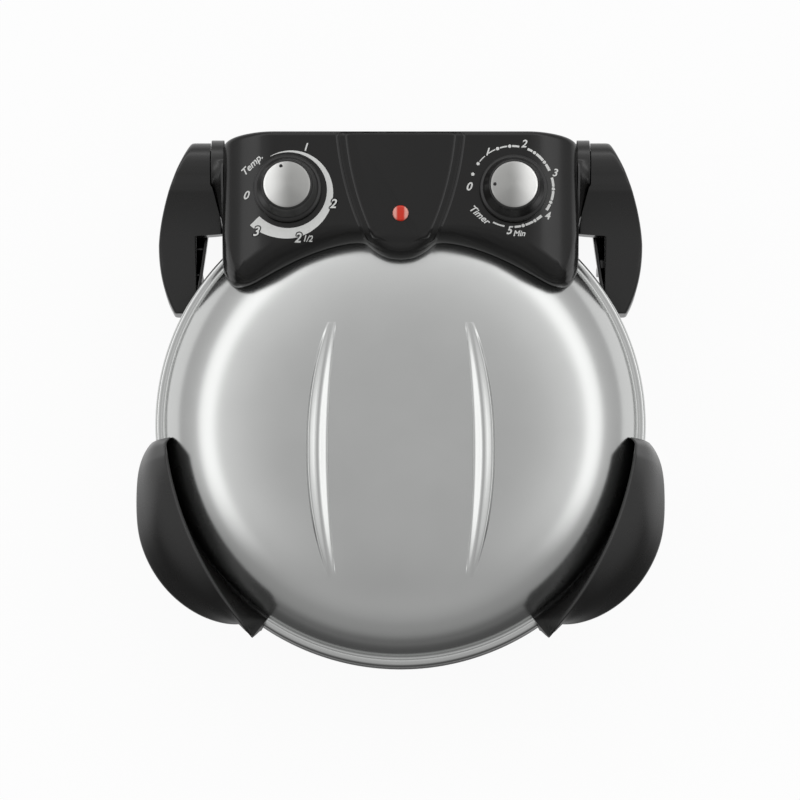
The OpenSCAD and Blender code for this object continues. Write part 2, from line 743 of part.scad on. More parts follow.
module frame_screws() {
    color(SCREW) at_bowl() each_frame_screw() mirror([0, 0, 1]) screw(screw_r, 14, screw_head);
}

module frame_posts() {
    each_frame_screw() difference() {
        translate([0, 0, 2]) cylinder(r = 4, h = 18);
        cylinder(r = screw_r + hole_fit, h = 19);
    }
}

module cord_gland() {
    color(BLACK) at_bowl() translate([gland_x, frame_y1 - frame_wall, gland_z]) difference() {
        union() {
            bar_y(0, gland_len, gland_r);
            bar_y(frame_wall, frame_wall + 2.5, gland_r + 2);
            bar_y(-2, 0, gland_r + 1.5);
        }
        bar_y(-3, gland_len + 1, gland_bore_r);
    }
}

module terminal_block() {
    color(CERAMIC) at_bowl() difference() {
        translate([gland_x - 16, frame_y1 - 24, frame_z + 2]) cube([32, 12, 14]);
        for (i = [-1:1]) translate([gland_x + i * 9, 0, frame_z + 10])
            bar_y(frame_y1 - 25, frame_y1 - 11, wire_r + 0.4);
    }
}

module wire(points) {
    tube([for (p = points) [p[0], p[1], p[2], wire_r]], 10, [0.2, 0.1, 1]);
}

module base_wires() {
    y = base_leg_end + pin_len - 1;
    z = lower_element_z - pin_r - wire_r;
    color(WIRE) at_bowl() for (i = [-1, 1]) {
        x = gland_x + i * 9;
        wire([[i * leg_pitch / 2, y, z], [gland_x / 2 + i * 9, y - 4, frame_z + 32],
            [x, frame_y1 - 32, frame_z + 28], [x, frame_y1 - 32, frame_z + 14],
            [x, frame_y1 - 28, frame_z + 10], [x, frame_y1 - 16, frame_z + 10]]);
    }
}

// ---- feet ----

module front_foot(s) {
    color(BLACK) at_bowl() difference() {
        translate([s * foot_pitch / 2, -foot_fore, pad_t])
            cylinder(r1 = foot_r - 2, r2 = foot_r, h = 50);
        bowl_solid(fit);
        translate([s * foot_pitch / 2, -foot_fore, 0]) {
            cylinder(r = screw_head + 0.6, h = pad_t + 8);
            cylinder(r = screw_r + hole_fit, h = 60);
        }
    }
}

module front_foot_left() { front_foot(-1); }
module front_foot_right() { front_foot(1); }

module foot_pads() {
    color(RUBBER) at_bowl() for (s = [-1, 1]) translate([s * foot_pitch / 2, -foot_fore, 0])
        difference() {
        cylinder(r = foot_r - 2.5, h = pad_t);
        translate([0, 0, -1]) cylinder(r = screw_head + 0.6, h = pad_t + 2);
    }
}

module foot_screws() {
    length = foot_skin_z - pad_t - 8 + 2.5;
    color(SCREW) at_bowl() for (s = [-1, 1]) translate([s * foot_pitch / 2, -foot_fore, pad_t + 8])
        mirror([0, 0, 1]) screw(screw_r, length, screw_head);
}

// ---- lid ----

// The lid's outer form, grown by some clearance.
module lid_solid(grow) {
    turned(concat(dome(dome_r + grow, dome_h, ring_z + grow), [[rim_r + grow, ring_z + grow],
        [rim_r + grow, lid_z - 20], [0, lid_z - 20]]));
}

// Plan of one rib in the lid: a crescent between two curves.
function rib_edge(x) = curve([-rib_end_x, rib_mid_y + rib_half], [x, rib_mid_y],
    [-rib_end_x, rib_mid_y - rib_half], 20);
function rib_plan(x_out, x_in, bow) = concat(rib_edge(x_out - bow), flip(rib_edge(x_in - bow * 0.3)));

module lid_ribs() {
    intersection() {
        difference() {
            turned(concat(dome(dome_r, dome_h, ring_z + rib_rise), [[dome_r, ring_z], [0, ring_z]]));
            turned(concat(dome(dome_r, dome_h, ring_z - sheet_t / 2),
                [[dome_r, ring_z - 5], [0, ring_z - 5]]));
        }
        for (s = [0, 1]) mirror([s, 0, 0]) {
            linear_extrude(height = 300) polygon(rib_plan(-67, -60.5, 17));
            linear_extrude(height = 300) polygon(rib_plan(-58.5, -51.5, 8));
        }
    }
}

module lid_shell() {
    color(STEEL) at_bowl() {
        difference() {
            turned(concat([[rim_r, lid_z], [rim_r, ring_z]], flip(dome(dome_r, dome_h, ring_z)),
                dome(dome_r - sheet_t, dome_h, ring_z - sheet_t),
                [[rim_r - sheet_t, ring_z - sheet_t], [rim_r - sheet_t, lid_z]]));
            for (s = [-1, 1]) translate([s * leg_pitch / 2, 0, upper_element_z])
                bar_y(100, rim_r, element_r + ceramic_t + fit);
            for (s = [-1, 1]) each_grip_screw(s, lid_grip_z) screw_hole();
            probe_path(wire_r + 1.4);
        }
        lid_ribs();
    }
}

module lid_reflector() {
    color(BRIGHT) at_bowl() difference() {
        turned(concat([[rim_r - sheet_t - fit, reflector_z + liner_t],
            [rim_r - sheet_t - fit, reflector_z],
            [reflector_r, reflector_z]], flip(dome(reflector_r - 0.2, reflector_h, reflector_z)),
            dome(reflector_r + liner_t, reflector_h, reflector_z + liner_t)));
        for (s = [-1, 1]) translate([s * leg_pitch / 2, 0, upper_element_z])
            bar_y(100, rim_r, element_r + ceramic_t + fit);
        probe_path(wire_r + 1);
    }
}

module lid_insulation() {
    r = inner_loop_r + 44;
    gap = reflector_z + liner_t + fit;
    steps = 8;
    lower = [for (i = [0:steps]) let (q = r * i / steps)
        [q, gap + dome_height(q, reflector_r + liner_t, reflector_h)]];
    upper = [for (p = flip(lower)) [p[0], p[1] + 8]];
    color(WOOL) at_bowl() turned(concat(lower, upper));
}

module upper_element() {
    color(ELEMENT) at_bowl() translate([0, 0, upper_element_z]) heating_element(lid_leg_end);
}

module upper_element_clips() {
    middle = (outer_loop_r + inner_loop_r) / 2;
    roof = reflector_z + dome_height(outer_loop_r + clip_w / 2, reflector_r - 0.2, reflector_h);
    color(BRIGHT) at_bowl() for (a = [45:90:315]) rotate([0, 0, a]) {
        translate([0, 0, roof]) mirror([0, 0, 1]) element_clip(roof - upper_element_z);
        difference() {
            translate([middle - 3, -clip_w / 2, roof - 1]) cube([6, clip_w, 12]);
            above_reflector();
        }
    }
}

// Everything above the reflector's inner face.
module above_reflector() {
    difference() {
        translate([0, 0, reflector_z]) cylinder(r = reflector_r, h = 60);
        turned(concat([[0, reflector_z - 60], [reflector_r - 0.2, reflector_z - 60]],
            flip(dome(reflector_r - 0.2, reflector_h, reflector_z - 0.02))));
    }
}

module upper_ceramic_bushes() {
    color(CERAMIC) at_bowl() ceramic_bushes(lid_leg_end - 38, lid_leg_end, upper_element_z);
}

// ---- control housing ----

// Plan of the control housing, right half then left half.
function housing_half(inset, back) = concat(
    [[0, tongue_y + inset]],
    curve([7, tongue_y + 0.6 + inset], [16, tongue_y + 3 + inset], [25, front_y + inset], 5),
    curve([32, front_y + 0.2 + inset], [57, front_y - 2 + inset], [88, corner_y + 11.5 + inset], 7),
    curve([99, corner_y + 5.5 + inset], [115 - inset / 2, corner_y - 4 + inset],
        [housing_x - 5 - inset, corner_y + 5 + inset], 5),
    [[housing_x - 1 - inset, corner_y + 13], [housing_x - inset, corner_y + 24],
        [housing_x - inset, back - 5 - inset]],
    curve([housing_x - 2 - inset, back - 2.4 - inset], [housing_x - 6 - inset, back - inset / 2],
        [housing_x - 28, back - inset], 5));

function housing_plan(inset, back) = let (half = housing_half(inset, back))
    concat(half, [for (p = flip([for (i = [1:len(half) - 1]) half[i]])) [-p[0], p[1]]]);

// Section of the housing across the object: flat top, sides that round down.
function housing_front(inset) = let (
    x0 = housing_x - side_round,
    side = [for (a = [0:9:90]) [x0 + (side_round - inset) * sin(a),
        panel_z - side_drop + (side_drop - inset) * cos(a)]])
    concat(side, [[housing_x - inset, 60]], [for (p = flip(concat(side, [[housing_x - inset, 60]])))
        [-p[0], p[1]]]);

module housing_form(inset) {
    back = housing_y1 + back_lean;
    intersection() {
        linear_extrude(height = 300) polygon(housing_plan(inset, back));
        translate([0, 300, 0]) rotate([90, 0, 0]) linear_extrude(height = 300)
            polygon(housing_front(inset));
        // the back wall leans out towards the top
        rotate([90, 0, 90]) translate([0, 0, -200]) linear_extrude(height = 400) polygon([
            [0, 40], [housing_y1 - inset, 40], [housing_y1 - inset, joint_z - 20],
                [back - inset, panel_z - 4],
            [back - 1.2 - inset, panel_z - 1.2], [back - 4 - inset, panel_z],
                [back - 4 - inset, panel_z + 5],
            [0, panel_z + 5]]);
    }
}

module slab(z0, z1) {
    translate([-300, -300, z0]) cube([600, 600, z1 - z0]);
}

module control_housing() {
    w = housing_wall;
    color(BLACK) at_bowl() difference() {
        union() {
            intersection() {
                difference() {
                    housing_form(0);
                    difference() {
                        housing_form(w);
                        slab(0, housing_z + w);
                    }
                }
                slab(housing_z, joint_z);
            }
            for (s = [0, 1]) mirror([s, 0, 0]) {
                translate([0, hinge_y, hinge_z]) housing_hub();
                panel_posts();
            }
        }
        lid_solid(fit);
        translate([0, hinge_y, hinge_z]) bar_x(-hub_x - 1, hub_x + 1, pin_d / 2 + bush_t);
        for (s = [0, 1]) mirror([s, 0, 0]) each_panel_screw()
            cylinder(r = screw_r + hole_fit, h = 120, center = true);
    }
}

// Hub outside the housing's side, its flare, and the boss that carries the bush inside.
module housing_hub() {
    hub();
    intersection() {
        hub_flare(0);
        translate([0, -hub_flare_r, housing_z - hinge_z]) cube([200, hub_flare_r, joint_z - housing_z]);
    }
    bar_x(housing_x - bush_in, housing_x - 2, pin_d / 2 + bush_t + 3);
}

// Upright posts under the panel's screws.
module panel_posts() {
    each_panel_screw() translate([0, 0, housing_z - joint_z])
        cylinder(r = 4.5, h = joint_z - housing_z - 1);
}

module each_panel_screw() {
    for (p = [[housing_x - bush_in - 5, hinge_y - 10], [12, hinge_y + 5]])
        translate([p[0], p[1], joint_z]) children();
}

module panel_screws() {
    color(SCREW) at_bowl() for (s = [0, 1]) mirror([s, 0, 0]) each_panel_screw()
        translate([0, 0, housing_z - joint_z])
        mirror([0, 0, 1]) screw(screw_r, joint_z - housing_z + 6, screw_head);
}

module control_panel() {
    w = housing_wall;
    color(BLACK) at_bowl() difference() {
        union() {
            intersection() {
                difference() {
                    housing_form(0);
                    housing_form(w);
                }
                slab(joint_z, panel_z + 1);
            }
            intersection() {
                for (s = [0, 1]) mirror([s, 0, 0]) each_panel_screw() cylinder(r = 4.5, h = 40);
                housing_form(0.5);
            }
        }
        lid_solid(fit);
        for (s = [-1, 1]) translate([s * dial_x, dial_y, 0]) cylinder(r = nut_r, h = 300);
        translate([0, lens_y, 0]) cylinder(r = lens_r - 1, h = 300);
        for (s = [0, 1]) mirror([s, 0, 0]) each_panel_screw()
            cylinder(r = screw_r + hole_fit, h = 14, center = true);
    }
}

// Outline of the raised middle fascia; drawn in by inset.
function fascia_half(inset) = concat([[0, tongue_y + 2 + inset]],
    curve([5, tongue_y + 2.4 + inset], [16 - inset, tongue_y + 4 + inset], [24 - inset, front_y + 5],
        4),
    curve([28 - inset, front_y + 13], [38 - inset, front_y + 42],
        [46 - inset, housing_y1 + back_lean - 4], 6));

module panel_fascia() {
    half0 = fascia_half(0);
    half1 = fascia_half(6.5);
    function both(half) = concat(half, [for (p = flip([for (i = [1:len(half) - 1]) half[i]]))
        [-p[0], p[1]]]);
    low = [for (p = both(half0)) [p[0], p[1], panel_z]];
    mid = [for (p = both(half0)) [p[0], p[1], panel_z + 0.5]];
    top = [for (p = both(half1)) [p[0], p[1], panel_z + fascia_rise]];
    color(BLACK) at_bowl() difference() {
        loft([low, mid, top]);
        translate([0, lens_y, panel_z - 1]) cylinder(r = lens_r + fit, h = 20);
    }
}

module heat_shield() {
    z = dome_h + 3;
    color(BRIGHT) at_bowl() difference() {
        intersection() {
            difference() {
                turned(concat(flip(dome(dome_r + 4, z, ring_z)), [[0, ring_z]]));
                turned(concat(flip(dome(dome_r + 3.2, z - 0.8, ring_z)),
                    [[0, ring_z - 1], [dome_r + 3.2, ring_z - 1]]));
            }
            housing_form(housing_wall + fit);
            slab(ring_z + fit, joint_z + 20);
        }
        for (s = [-1, 1]) translate([s * leg_pitch / 2, 0, upper_element_z])
            bar_y(100, 190, element_r + ceramic_t + fit);
        probe_path(wire_r + 1.4);
    }
}

module hinge_bushes() {
    color(BRIGHT) at_bowl() for (s = [0, 1]) mirror([s, 0, 0]) translate([0, hinge_y, hinge_z])
        difference() {
        bar_x(housing_x - bush_in, hub_x, pin_d / 2 + bush_t);
        bar_x(housing_x - bush_in - 6, hub_x + 5, pin_d / 2 + pin_clear);
    }
}

module pilot_lens() {
    color(LENS) at_bowl() translate([0, lens_y, panel_z]) {
        cylinder(r = lens_r, h = fascia_rise + 0.4);
        translate([0, 0, fascia_rise + 0.4]) cylinder(r1 = lens_r, r2 = lens_r - 1, h = 0.8);
    }
}

module pilot_lamp() {
    color([0.9, 0.6, 0.4]) at_bowl() translate([0, lens_y, panel_z - 13]) {
        cylinder(r = 2.6, h = 13 - fit);
        for (s = [-1, 1]) translate([s * 1.2, 0, -4]) cylinder(r = 0.4, h = 4.5, $fn = 16);
    }
}

// ---- controls ----

module control_body(w, d, h) {
    top = panel_z - housing_wall;
    difference() {
        union() {
            translate([-w / 2, -d / 2, top - h]) cube([w, d, h - 2.8]);
            translate([0, 0, top - 3]) cylinder(r = nut_r + 3.5, h = 3);
            translate([0, 0, top - 1]) cylinder(r = nut_r - 0.2, h = housing_wall + 1);
        }
        translate([0, 0, top - h + 3]) cylinder(r = shaft_d / 2 + shaft_clear, h = 60);
    }
}

module thermostat() {
    color(CERAMIC) at_bowl() translate([-dial_x, dial_y, 0]) difference() {
        control_body(34, 34, 24);
        translate([0, 0, panel_z - housing_wall - 30]) cylinder(r = probe_r + 0.1, h = 9);
    }
}

module timer() {
    color(STEEL) at_bowl() translate([dial_x, dial_y, 0]) control_body(40, 42, 22);
}

module control_nut() {
    difference() {
        translate([0, 0, panel_z]) cylinder(r = 7.5, h = 2.2, $fn = 6);
        translate([0, 0, panel_z - 1]) cylinder(r = shaft_d / 2 + 1, h = 5);
    }
}

module thermostat_nut() {
    color(SCREW) at_bowl() translate([-dial_x, dial_y, 0]) control_nut();
}

module timer_nut() {
    color(SCREW) at_bowl() translate([dial_x, dial_y, 0]) control_nut();
}

module timer_bell() {
    color(BRIGHT) at_bowl() translate([dial_x - 38, dial_y + 22, panel_z - housing_wall - 13])
        difference() {
        union() {
            cylinder(r = 13, h = 7);
            cylinder(r = 2, h = 13);
        }
        translate([0, 0, -1]) cylinder(r = 12, h = 7);
    }
}

// Way of the thermostat's bulb and thin tube, from the baking space up to the thermostat.
function probe_way() = [[-dial_x + 46, probe_y - 14, probe_z, bulb_r],
    [-dial_x + 4, probe_y - 4, probe_z, bulb_r],
    [-dial_x + 3, probe_y - 3.5, probe_z, probe_r], [-dial_x, probe_y, probe_z, probe_r],
    [-dial_x, dial_y - 3, probe_z, probe_r],
    [-dial_x, dial_y - 0.6, probe_z + 1, probe_r], [-dial_x, dial_y, probe_z + 4, probe_r],
    [-dial_x, dial_y, panel_z - housing_wall - 22, probe_r]];

module probe_path(r) {
    translate([-dial_x, 0, probe_z]) bar_y(probe_y, dial_y + r, r);
}

module thermostat_bulb() {
    color(BRIGHT) at_bowl() tube(probe_way(), 10, [1, 0.3, 0.2]);
}

module lid_wires() {
    y = lid_leg_end + pin_len - 1;
    z = upper_element_z + pin_r + wire_r;
    high = panel_z - 20;
    x = leg_pitch / 2;
    color(WIRE) at_bowl() {
        wire([[x, y, z], [x + 6, y - 1, high - 2], [dial_x - 25, dial_y + 4, high],
            [dial_x - 20.2, dial_y + 4, high]]);
        wire([[-x, y, z], [-x - 6, y - 1, high - 2], [-dial_x + 21, dial_y + 4, high],
            [-dial_x + 17.2, dial_y + 4, high]]);
        wire([[-dial_x + 17.2, dial_y - 4, high + 6], [-dial_x + 22, dial_y - 5, high + 6],
            [dial_x - 26, dial_y - 8, high + 6], [dial_x - 20.2, dial_y - 8, high + 6]]);
    }
}

// ---- dials ----

module dial_shaft() {
    foot = panel_z - housing_wall - 18;
    translate([0, 0, foot]) cylinder(r = shaft_d / 2, h = panel_z + knob_h - 5 - foot);
}

module dial_knob() {
    z = panel_z + knob_gap;
    top = panel_z + knob_h - 1;
    difference() {
        turned([[0, z], [knob_r - 0.6, z], [knob_r, z + 0.6], [knob_r - 0.3, z + 3.2],
            [knob_r - 1.2, z + 4],
            [knob_r - 2.4, z + 4.2], [cap_r + 2.4, top - 4], [cap_r + 1, top], [cap_r + 0.1, top],
            [cap_r + 0.1, top - 1.4], [0, top - 1.4]]);
        translate([0, 0, z - 1]) cylinder(r = shaft_d / 2, h = knob_h - knob_gap - 4);
        difference() {
            translate([0, 0, z - 1]) cylinder(r = knob_r - 3, h = 5);
            translate([0, 0, z - 2]) cylinder(r = 10.5, h = 8);
        }
        translate([0, 0, z - 1]) cylinder(r = 8.2, h = 4);
    }
}

// Thin metal disc in the knob's top; the small hole in it is the pointer.
module dial_cap(pointer) {
    z = panel_z + knob_h - 2.4;
    difference() {
        turned([[0, z], [cap_r, z], [cap_r, z + 2.2], [cap_r - 0.4, z + 2.4], [0, z + 2.4]]);
        rotate([0, 0, pointer]) translate([0, cap_r - 3.4, z + 1.6]) cylinder(r = 1.1, h = 2);
    }
}

module thermostat_shaft() {
    color(SCREW) at_bowl() translate([-dial_x, dial_y, 0]) dial_shaft();
}

module thermostat_knob() {
    color(BLACK) at_bowl() translate([-dial_x, dial_y, 0]) dial_knob();
}

module thermostat_cap() {
    color(BRIGHT) at_bowl() translate([-dial_x, dial_y, 0]) dial_cap(temp_pointer);
}

module timer_shaft() {
    color(SCREW) at_bowl() translate([dial_x, dial_y, 0]) dial_shaft();
}

module timer_knob() {
    color(BLACK) at_bowl() translate([dial_x, dial_y, 0]) dial_knob();
}

module timer_cap() {
    color(BRIGHT) at_bowl() translate([dial_x, dial_y, 0]) dial_cap(timer_pointer);
}

base_bowl();
liner_pan();
stone_plate();
stone_clips();
lower_element();
lower_element_clips();
lower_ceramic_bushes();
base_insulation();
bottom_cover();
bottom_cover_screws();
base_handle_left();
base_handle_right();
base_handle_screws();
hinge_arm_left();
hinge_arm_right();
arm_pads();
hinge_pins();
rear_frame();
rear_frame_cover();
frame_screws();
arm_screws();
cord_gland();
terminal_block();
base_wires();
front_foot_left();
front_foot_right();
foot_pads();
foot_screws();
lid_shell();
lid_reflector();
lid_insulation();
upper_element();
upper_element_clips();
upper_ceramic_bushes();
lid_handle_left();
lid_handle_right();
lid_handle_screws();
control_housing();
heat_shield();
control_panel();
panel_fascia();
panel_screws();
hinge_bushes();
pilot_lens();
pilot_lamp();
thermostat();
thermostat_bulb();
thermostat_nut();
timer();
timer_nut();
timer_bell();
lid_wires();
thermostat_shaft();
thermostat_knob();
thermostat_cap();
timer_shaft();
timer_knob();
timer_cap();
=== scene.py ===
"""Dresses the electric pizza maker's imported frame: surfaces, finishes, prints and the studio around it."""
import json
import math

import bmesh
import bpy
import numpy as np
from mathutils import Matrix, Vector

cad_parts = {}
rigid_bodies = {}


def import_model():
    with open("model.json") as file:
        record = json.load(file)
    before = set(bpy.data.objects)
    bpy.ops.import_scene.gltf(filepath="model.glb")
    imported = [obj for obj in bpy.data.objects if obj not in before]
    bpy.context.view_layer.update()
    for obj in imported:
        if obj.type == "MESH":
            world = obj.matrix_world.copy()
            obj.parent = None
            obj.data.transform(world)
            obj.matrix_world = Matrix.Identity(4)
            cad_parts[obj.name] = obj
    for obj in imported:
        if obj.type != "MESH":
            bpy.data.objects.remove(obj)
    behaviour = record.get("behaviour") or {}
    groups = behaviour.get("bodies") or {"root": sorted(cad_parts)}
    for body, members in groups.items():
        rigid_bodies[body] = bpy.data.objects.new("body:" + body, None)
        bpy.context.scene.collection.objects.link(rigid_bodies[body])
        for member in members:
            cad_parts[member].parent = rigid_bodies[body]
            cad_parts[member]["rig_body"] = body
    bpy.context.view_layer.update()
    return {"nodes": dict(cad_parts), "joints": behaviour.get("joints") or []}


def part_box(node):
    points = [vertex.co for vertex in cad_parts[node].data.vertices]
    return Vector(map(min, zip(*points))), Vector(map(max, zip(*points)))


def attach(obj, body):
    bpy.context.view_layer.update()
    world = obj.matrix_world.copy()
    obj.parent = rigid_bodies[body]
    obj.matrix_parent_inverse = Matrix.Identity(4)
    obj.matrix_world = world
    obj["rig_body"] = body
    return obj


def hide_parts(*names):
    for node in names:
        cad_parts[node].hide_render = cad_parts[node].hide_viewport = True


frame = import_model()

bl_info = {
    "name": "Pizza maker",
    "version": (1, 0, 0),
    "blender": (4, 5, 0),
    "location": "View3D > Sidebar > Pizza maker",
    "description": "Builds a stone-bed pizza maker with a hinged lid, piece by piece",
    "category": "Add Mesh",
}

# ---- sizes, in millimetres; plan positions are measured from the bowl's own axis ----

MM = 0.001


def box_mm(node):
    """A node's lowest and highest corners in millimetres."""
    return [np.array(corner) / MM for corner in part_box(node)]


def middle(node, axis):
    """Middle of a node along one axis, in millimetres."""
    low, high = box_mm(node)
    return (low[axis] + high[axis]) / 2


AXIS_Y = middle("stone_plate", 1)
RIM_R = box_mm("lid_shell")[1][0]
LID_Z = box_mm("lid_shell")[0][2]
SEAM_Z = box_mm("base_bowl")[1][2]
SKIRT_H = 12.0
RING_W = 7.0
RING_Z = LID_Z + SKIRT_H
DOME_R = RIM_R - RING_W
DOME_H = 47.0
BAND_Z = SEAM_Z - 8.0
BOWL_R = RIM_R - 3.0
BOWL_DEPTH = BAND_Z - box_mm("bottom_cover")[0][2] - 2.5
SHEET = 1.0
LID_SHEET = 1.2
FLOOR_HOLE_R = 84.0
HINGE = next(joint for joint in frame["joints"] if joint["name"] == "lid_hinge")["pos_m"]
HINGE_Y = HINGE[1] / MM - AXIS_Y
HINGE_Z = HINGE[2] / MM
PANEL_Z = box_mm("control_panel")[1][2]
HOUSING_Z = RING_Z - 2.5
HUB_X = box_mm("hinge_bushes")[1][0]
HOUSING_X = HUB_X - 8.3
DIAL_X = middle("timer_cap", 0)
DIAL_Y = middle("timer_cap", 1) - AXIS_Y
KNOB_H = box_mm("timer_cap")[1][2] - PANEL_Z
LENS_Y = middle("pilot_lens", 1) - AXIS_Y
STONE_ROUND = 1.6
STONE_R = box_mm("stone_plate")[1][0]
STONE_LOW_Z = box_mm("stone_plate")[0][2]
STONE_TOP_Z = box_mm("stone_plate")[1][2]
FIT = 0.3

# ---- mesh helpers ----


def smoothstep(low, high, x):
    """Rises smoothly from 0 at low to 1 at high."""
    t = np.clip((x - low) / (high - low), 0, 1)
    return t * t * (3 - 2 * t)


def curve(a, b, c, steps=12):
    """Points of the quadratic curve from a to c pulled towards b."""
    t = np.linspace(0, 1, steps)[:, None]
    a, b, c = np.array(a, float), np.array(b, float), np.array(c, float)
    return (1 - t) ** 2 * a + 2 * t * (1 - t) * b + t ** 2 * c


def round_corners(shape, radii, arc=5, edge=1):
    """Closed outlines with each corner cut back by its radius and joined by a quadratic curve.

    shape is (..., corners, 2); edge is the number of points kept along each straight side.
    """
    shape = np.asarray(shape, float)
    radii = np.broadcast_to(np.asarray(radii, float), shape.shape[:-1])[..., None]
    before = np.roll(shape, 1, axis=-2) - shape
    after = np.roll(shape, -1, axis=-2) - shape
    length_b = np.linalg.norm(before, axis=-1, keepdims=True) + 1e-9
    length_a = np.linalg.norm(after, axis=-1, keepdims=True) + 1e-9
    start = shape + before / length_b * np.minimum(radii, 0.48 * length_b)
    end = shape + after / length_a * np.minimum(radii, 0.48 * length_a)
    t = np.linspace(0, 1, arc)[:, None]
    arcs = [(1 - s) ** 2 * start + 2 * s * (1 - s) * shape + s ** 2 * end for s in t]
    next_start = np.roll(start, -1, axis=-2)
    sides = [end + (next_start - end) * (k + 1) / (edge + 1) for k in range(edge)]
    points = np.stack(arcs + sides, axis=-2)
    return points.reshape(shape.shape[:-2] + (-1, 2))


def open_corners(points, radii, arc=6):
    """An open line whose inner corners are rounded as round_corners does."""
    points = np.asarray(points, float)
    radii = np.broadcast_to(np.asarray(radii, float), (len(points),))
    rounded = round_corners(points, radii, arc, 0).reshape(len(points), arc, 2)
    return np.concatenate([points[:1], rounded[1:-1].reshape(-1, 2), points[-1:]])


def link_object(name, data):
    """A new object with that mesh or camera, in the scene."""
    holder = bpy.data.objects.new(name, data)
    bpy.context.collection.objects.link(holder)
    return holder


def shade(mesh, angle):
    """Smooth shading, with edges sharper than that angle in degrees left hard."""
    mesh.shade_smooth()
    mesh.set_sharp_from_angle(angle=math.radians(angle))


def make_object(name, points, faces, smooth=35.0):
    """A mesh object from points in millimetres about the bowl's axis, cleaned and turned outwards."""
    mesh = bpy.data.meshes.new(name)
    placed = (np.asarray(points, float).reshape(-1, 3) + (0, AXIS_Y, 0)) * MM
    mesh.from_pydata(placed.tolist(), [], faces)
    work = bmesh.new()
    work.from_mesh(mesh)
    bmesh.ops.remove_doubles(work, verts=work.verts, dist=1e-6)
    bmesh.ops.dissolve_degenerate(work, edges=work.edges, dist=1e-7)
    bmesh.ops.recalc_face_normals(work, faces=work.faces)
    work.to_mesh(mesh)
    work.free()
    shade(mesh, smooth)
    return link_object(name, mesh)


def grid_faces(rows, columns, wrap_rows=False, wrap_columns=False):
    """Quads of a grid of points, closed in either direction where asked."""
    r = np.arange(rows if wrap_rows else rows - 1)
    c = np.arange(columns if wrap_columns else columns - 1)
    i, j = np.meshgrid(r, c, indexing="ij")
    i2, j2 = (i + 1) % rows, (j + 1) % columns
    quads = np.stack([i * columns + j, i * columns + j2, i2 * columns + j2, i2 * columns + j], axis=-1)
    return quads.reshape(-1, 4).tolist()


def surface(name, points, wrap_rows=False, wrap_columns=False, caps=False, smooth=35.0):
    """An object from a (rows, columns, 3) grid of points; caps closes the first and last row."""
    points = np.asarray(points, float)
    rows, columns = points.shape[:2]
    faces = grid_faces(rows, columns, wrap_rows, wrap_columns)
    if caps:
        faces.append(list(range(columns)))
        faces.append(list(range((rows - 1) * columns, rows * columns)))
    return make_object(name, points, faces, smooth)


def tube(name, way, radius, sides=20, caps=True, up=(0.0, 0.0, 1.0)):
    """A round tube along a line of points; radius is one number or one for each point."""
    way = np.asarray(way, float)
    ahead = np.gradient(way, axis=0)
    ahead /= np.linalg.norm(ahead, axis=1, keepdims=True)
    across = np.cross(ahead, np.array(up))
    across /= np.linalg.norm(across, axis=1, keepdims=True)
    over = np.cross(across, ahead)
    angle = np.linspace(0, 2 * np.pi, sides, endpoint=False)[None, :, None]
    radius = np.broadcast_to(np.asarray(radius, float), (len(way),))[:, None, None]
    points = way[:, None] + radius * (np.cos(angle) * across[:, None] + np.sin(angle) * over[:, None])
    return surface(name, points, False, True, caps)


def join(name, pieces):
    """One object from several, their meshes put together."""
    work = bmesh.new()
    for piece in pieces:
        work.from_mesh(piece.data)
    mesh = bpy.data.meshes.new(name)
    work.to_mesh(mesh)
    work.free()
    for piece in pieces:
        bpy.data.objects.remove(piece)
    return link_object(name, mesh)


def mirrored(name, piece):
    """A copy of a piece on the other side of the middle plane, turned outwards again."""
    mesh = piece.data.copy()
    flip = np.empty(len(mesh.vertices) * 3)
    mesh.vertices.foreach_get("co", flip)
    flip[0::3] *= -1
    mesh.vertices.foreach_set("co", flip)
    mesh.flip_normals()
    return link_object(name, mesh)


def place(piece, body, slot, material, *nodes):
    """Gives a piece its finish and body, and hides the nodes that it stands for; slot is not used."""
    piece.data.materials.clear()
    piece.data.materials.append(finish(material))
    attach(piece, body)
    if nodes:
        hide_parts(*nodes)


# ---- forms shared by several pieces ----


def dome_height(q, radius, height):
    """Height of a flattened dome at distance q: full over the middle, steep at the rim."""
    return height * np.clip(1 - (np.abs(q) / radius) ** 4, 0, 1) ** 0.625


def dome_outline(radius, height, z, steps=90):
    """Outline of that dome from its top to its foot, closer together where it is steep."""
    a = np.linspace(0, np.pi / 2, steps)
    return np.stack([radius * np.sin(a) ** 0.5, z + height * np.cos(a) ** 1.25], axis=1)


def even_points(line, count):
    """That many points at even steps along a line."""
    line = np.asarray(line, float)
    run = np.concatenate([[0], np.cumsum(np.linalg.norm(np.diff(line, axis=0), axis=1))])
    at = np.linspace(0, run[-1], count)
    return np.stack([np.interp(at, run, line[:, 0]), np.interp(at, run, line[:, 1])], axis=1)


def softened(line, passes):
    """A line whose inner points are drawn towards their neighbours' middle, that many times."""
    for _ in range(passes):
        line[1:-1] = (line[:-2] + 2 * line[1:-1] + line[2:]) / 4
    return line


def both_halves(half):
    """A closed loop from a right half whose ends lie on the middle line."""
    return np.concatenate([half, (half * (-1, 1))[-2:0:-1]])


def corners(*pairs):
    """Sections (stations, corners, 2) from pairs of coordinates that run along the stations."""
    return np.stack([np.stack(np.broadcast_arrays(*pair), -1) for pair in pairs], axis=1)


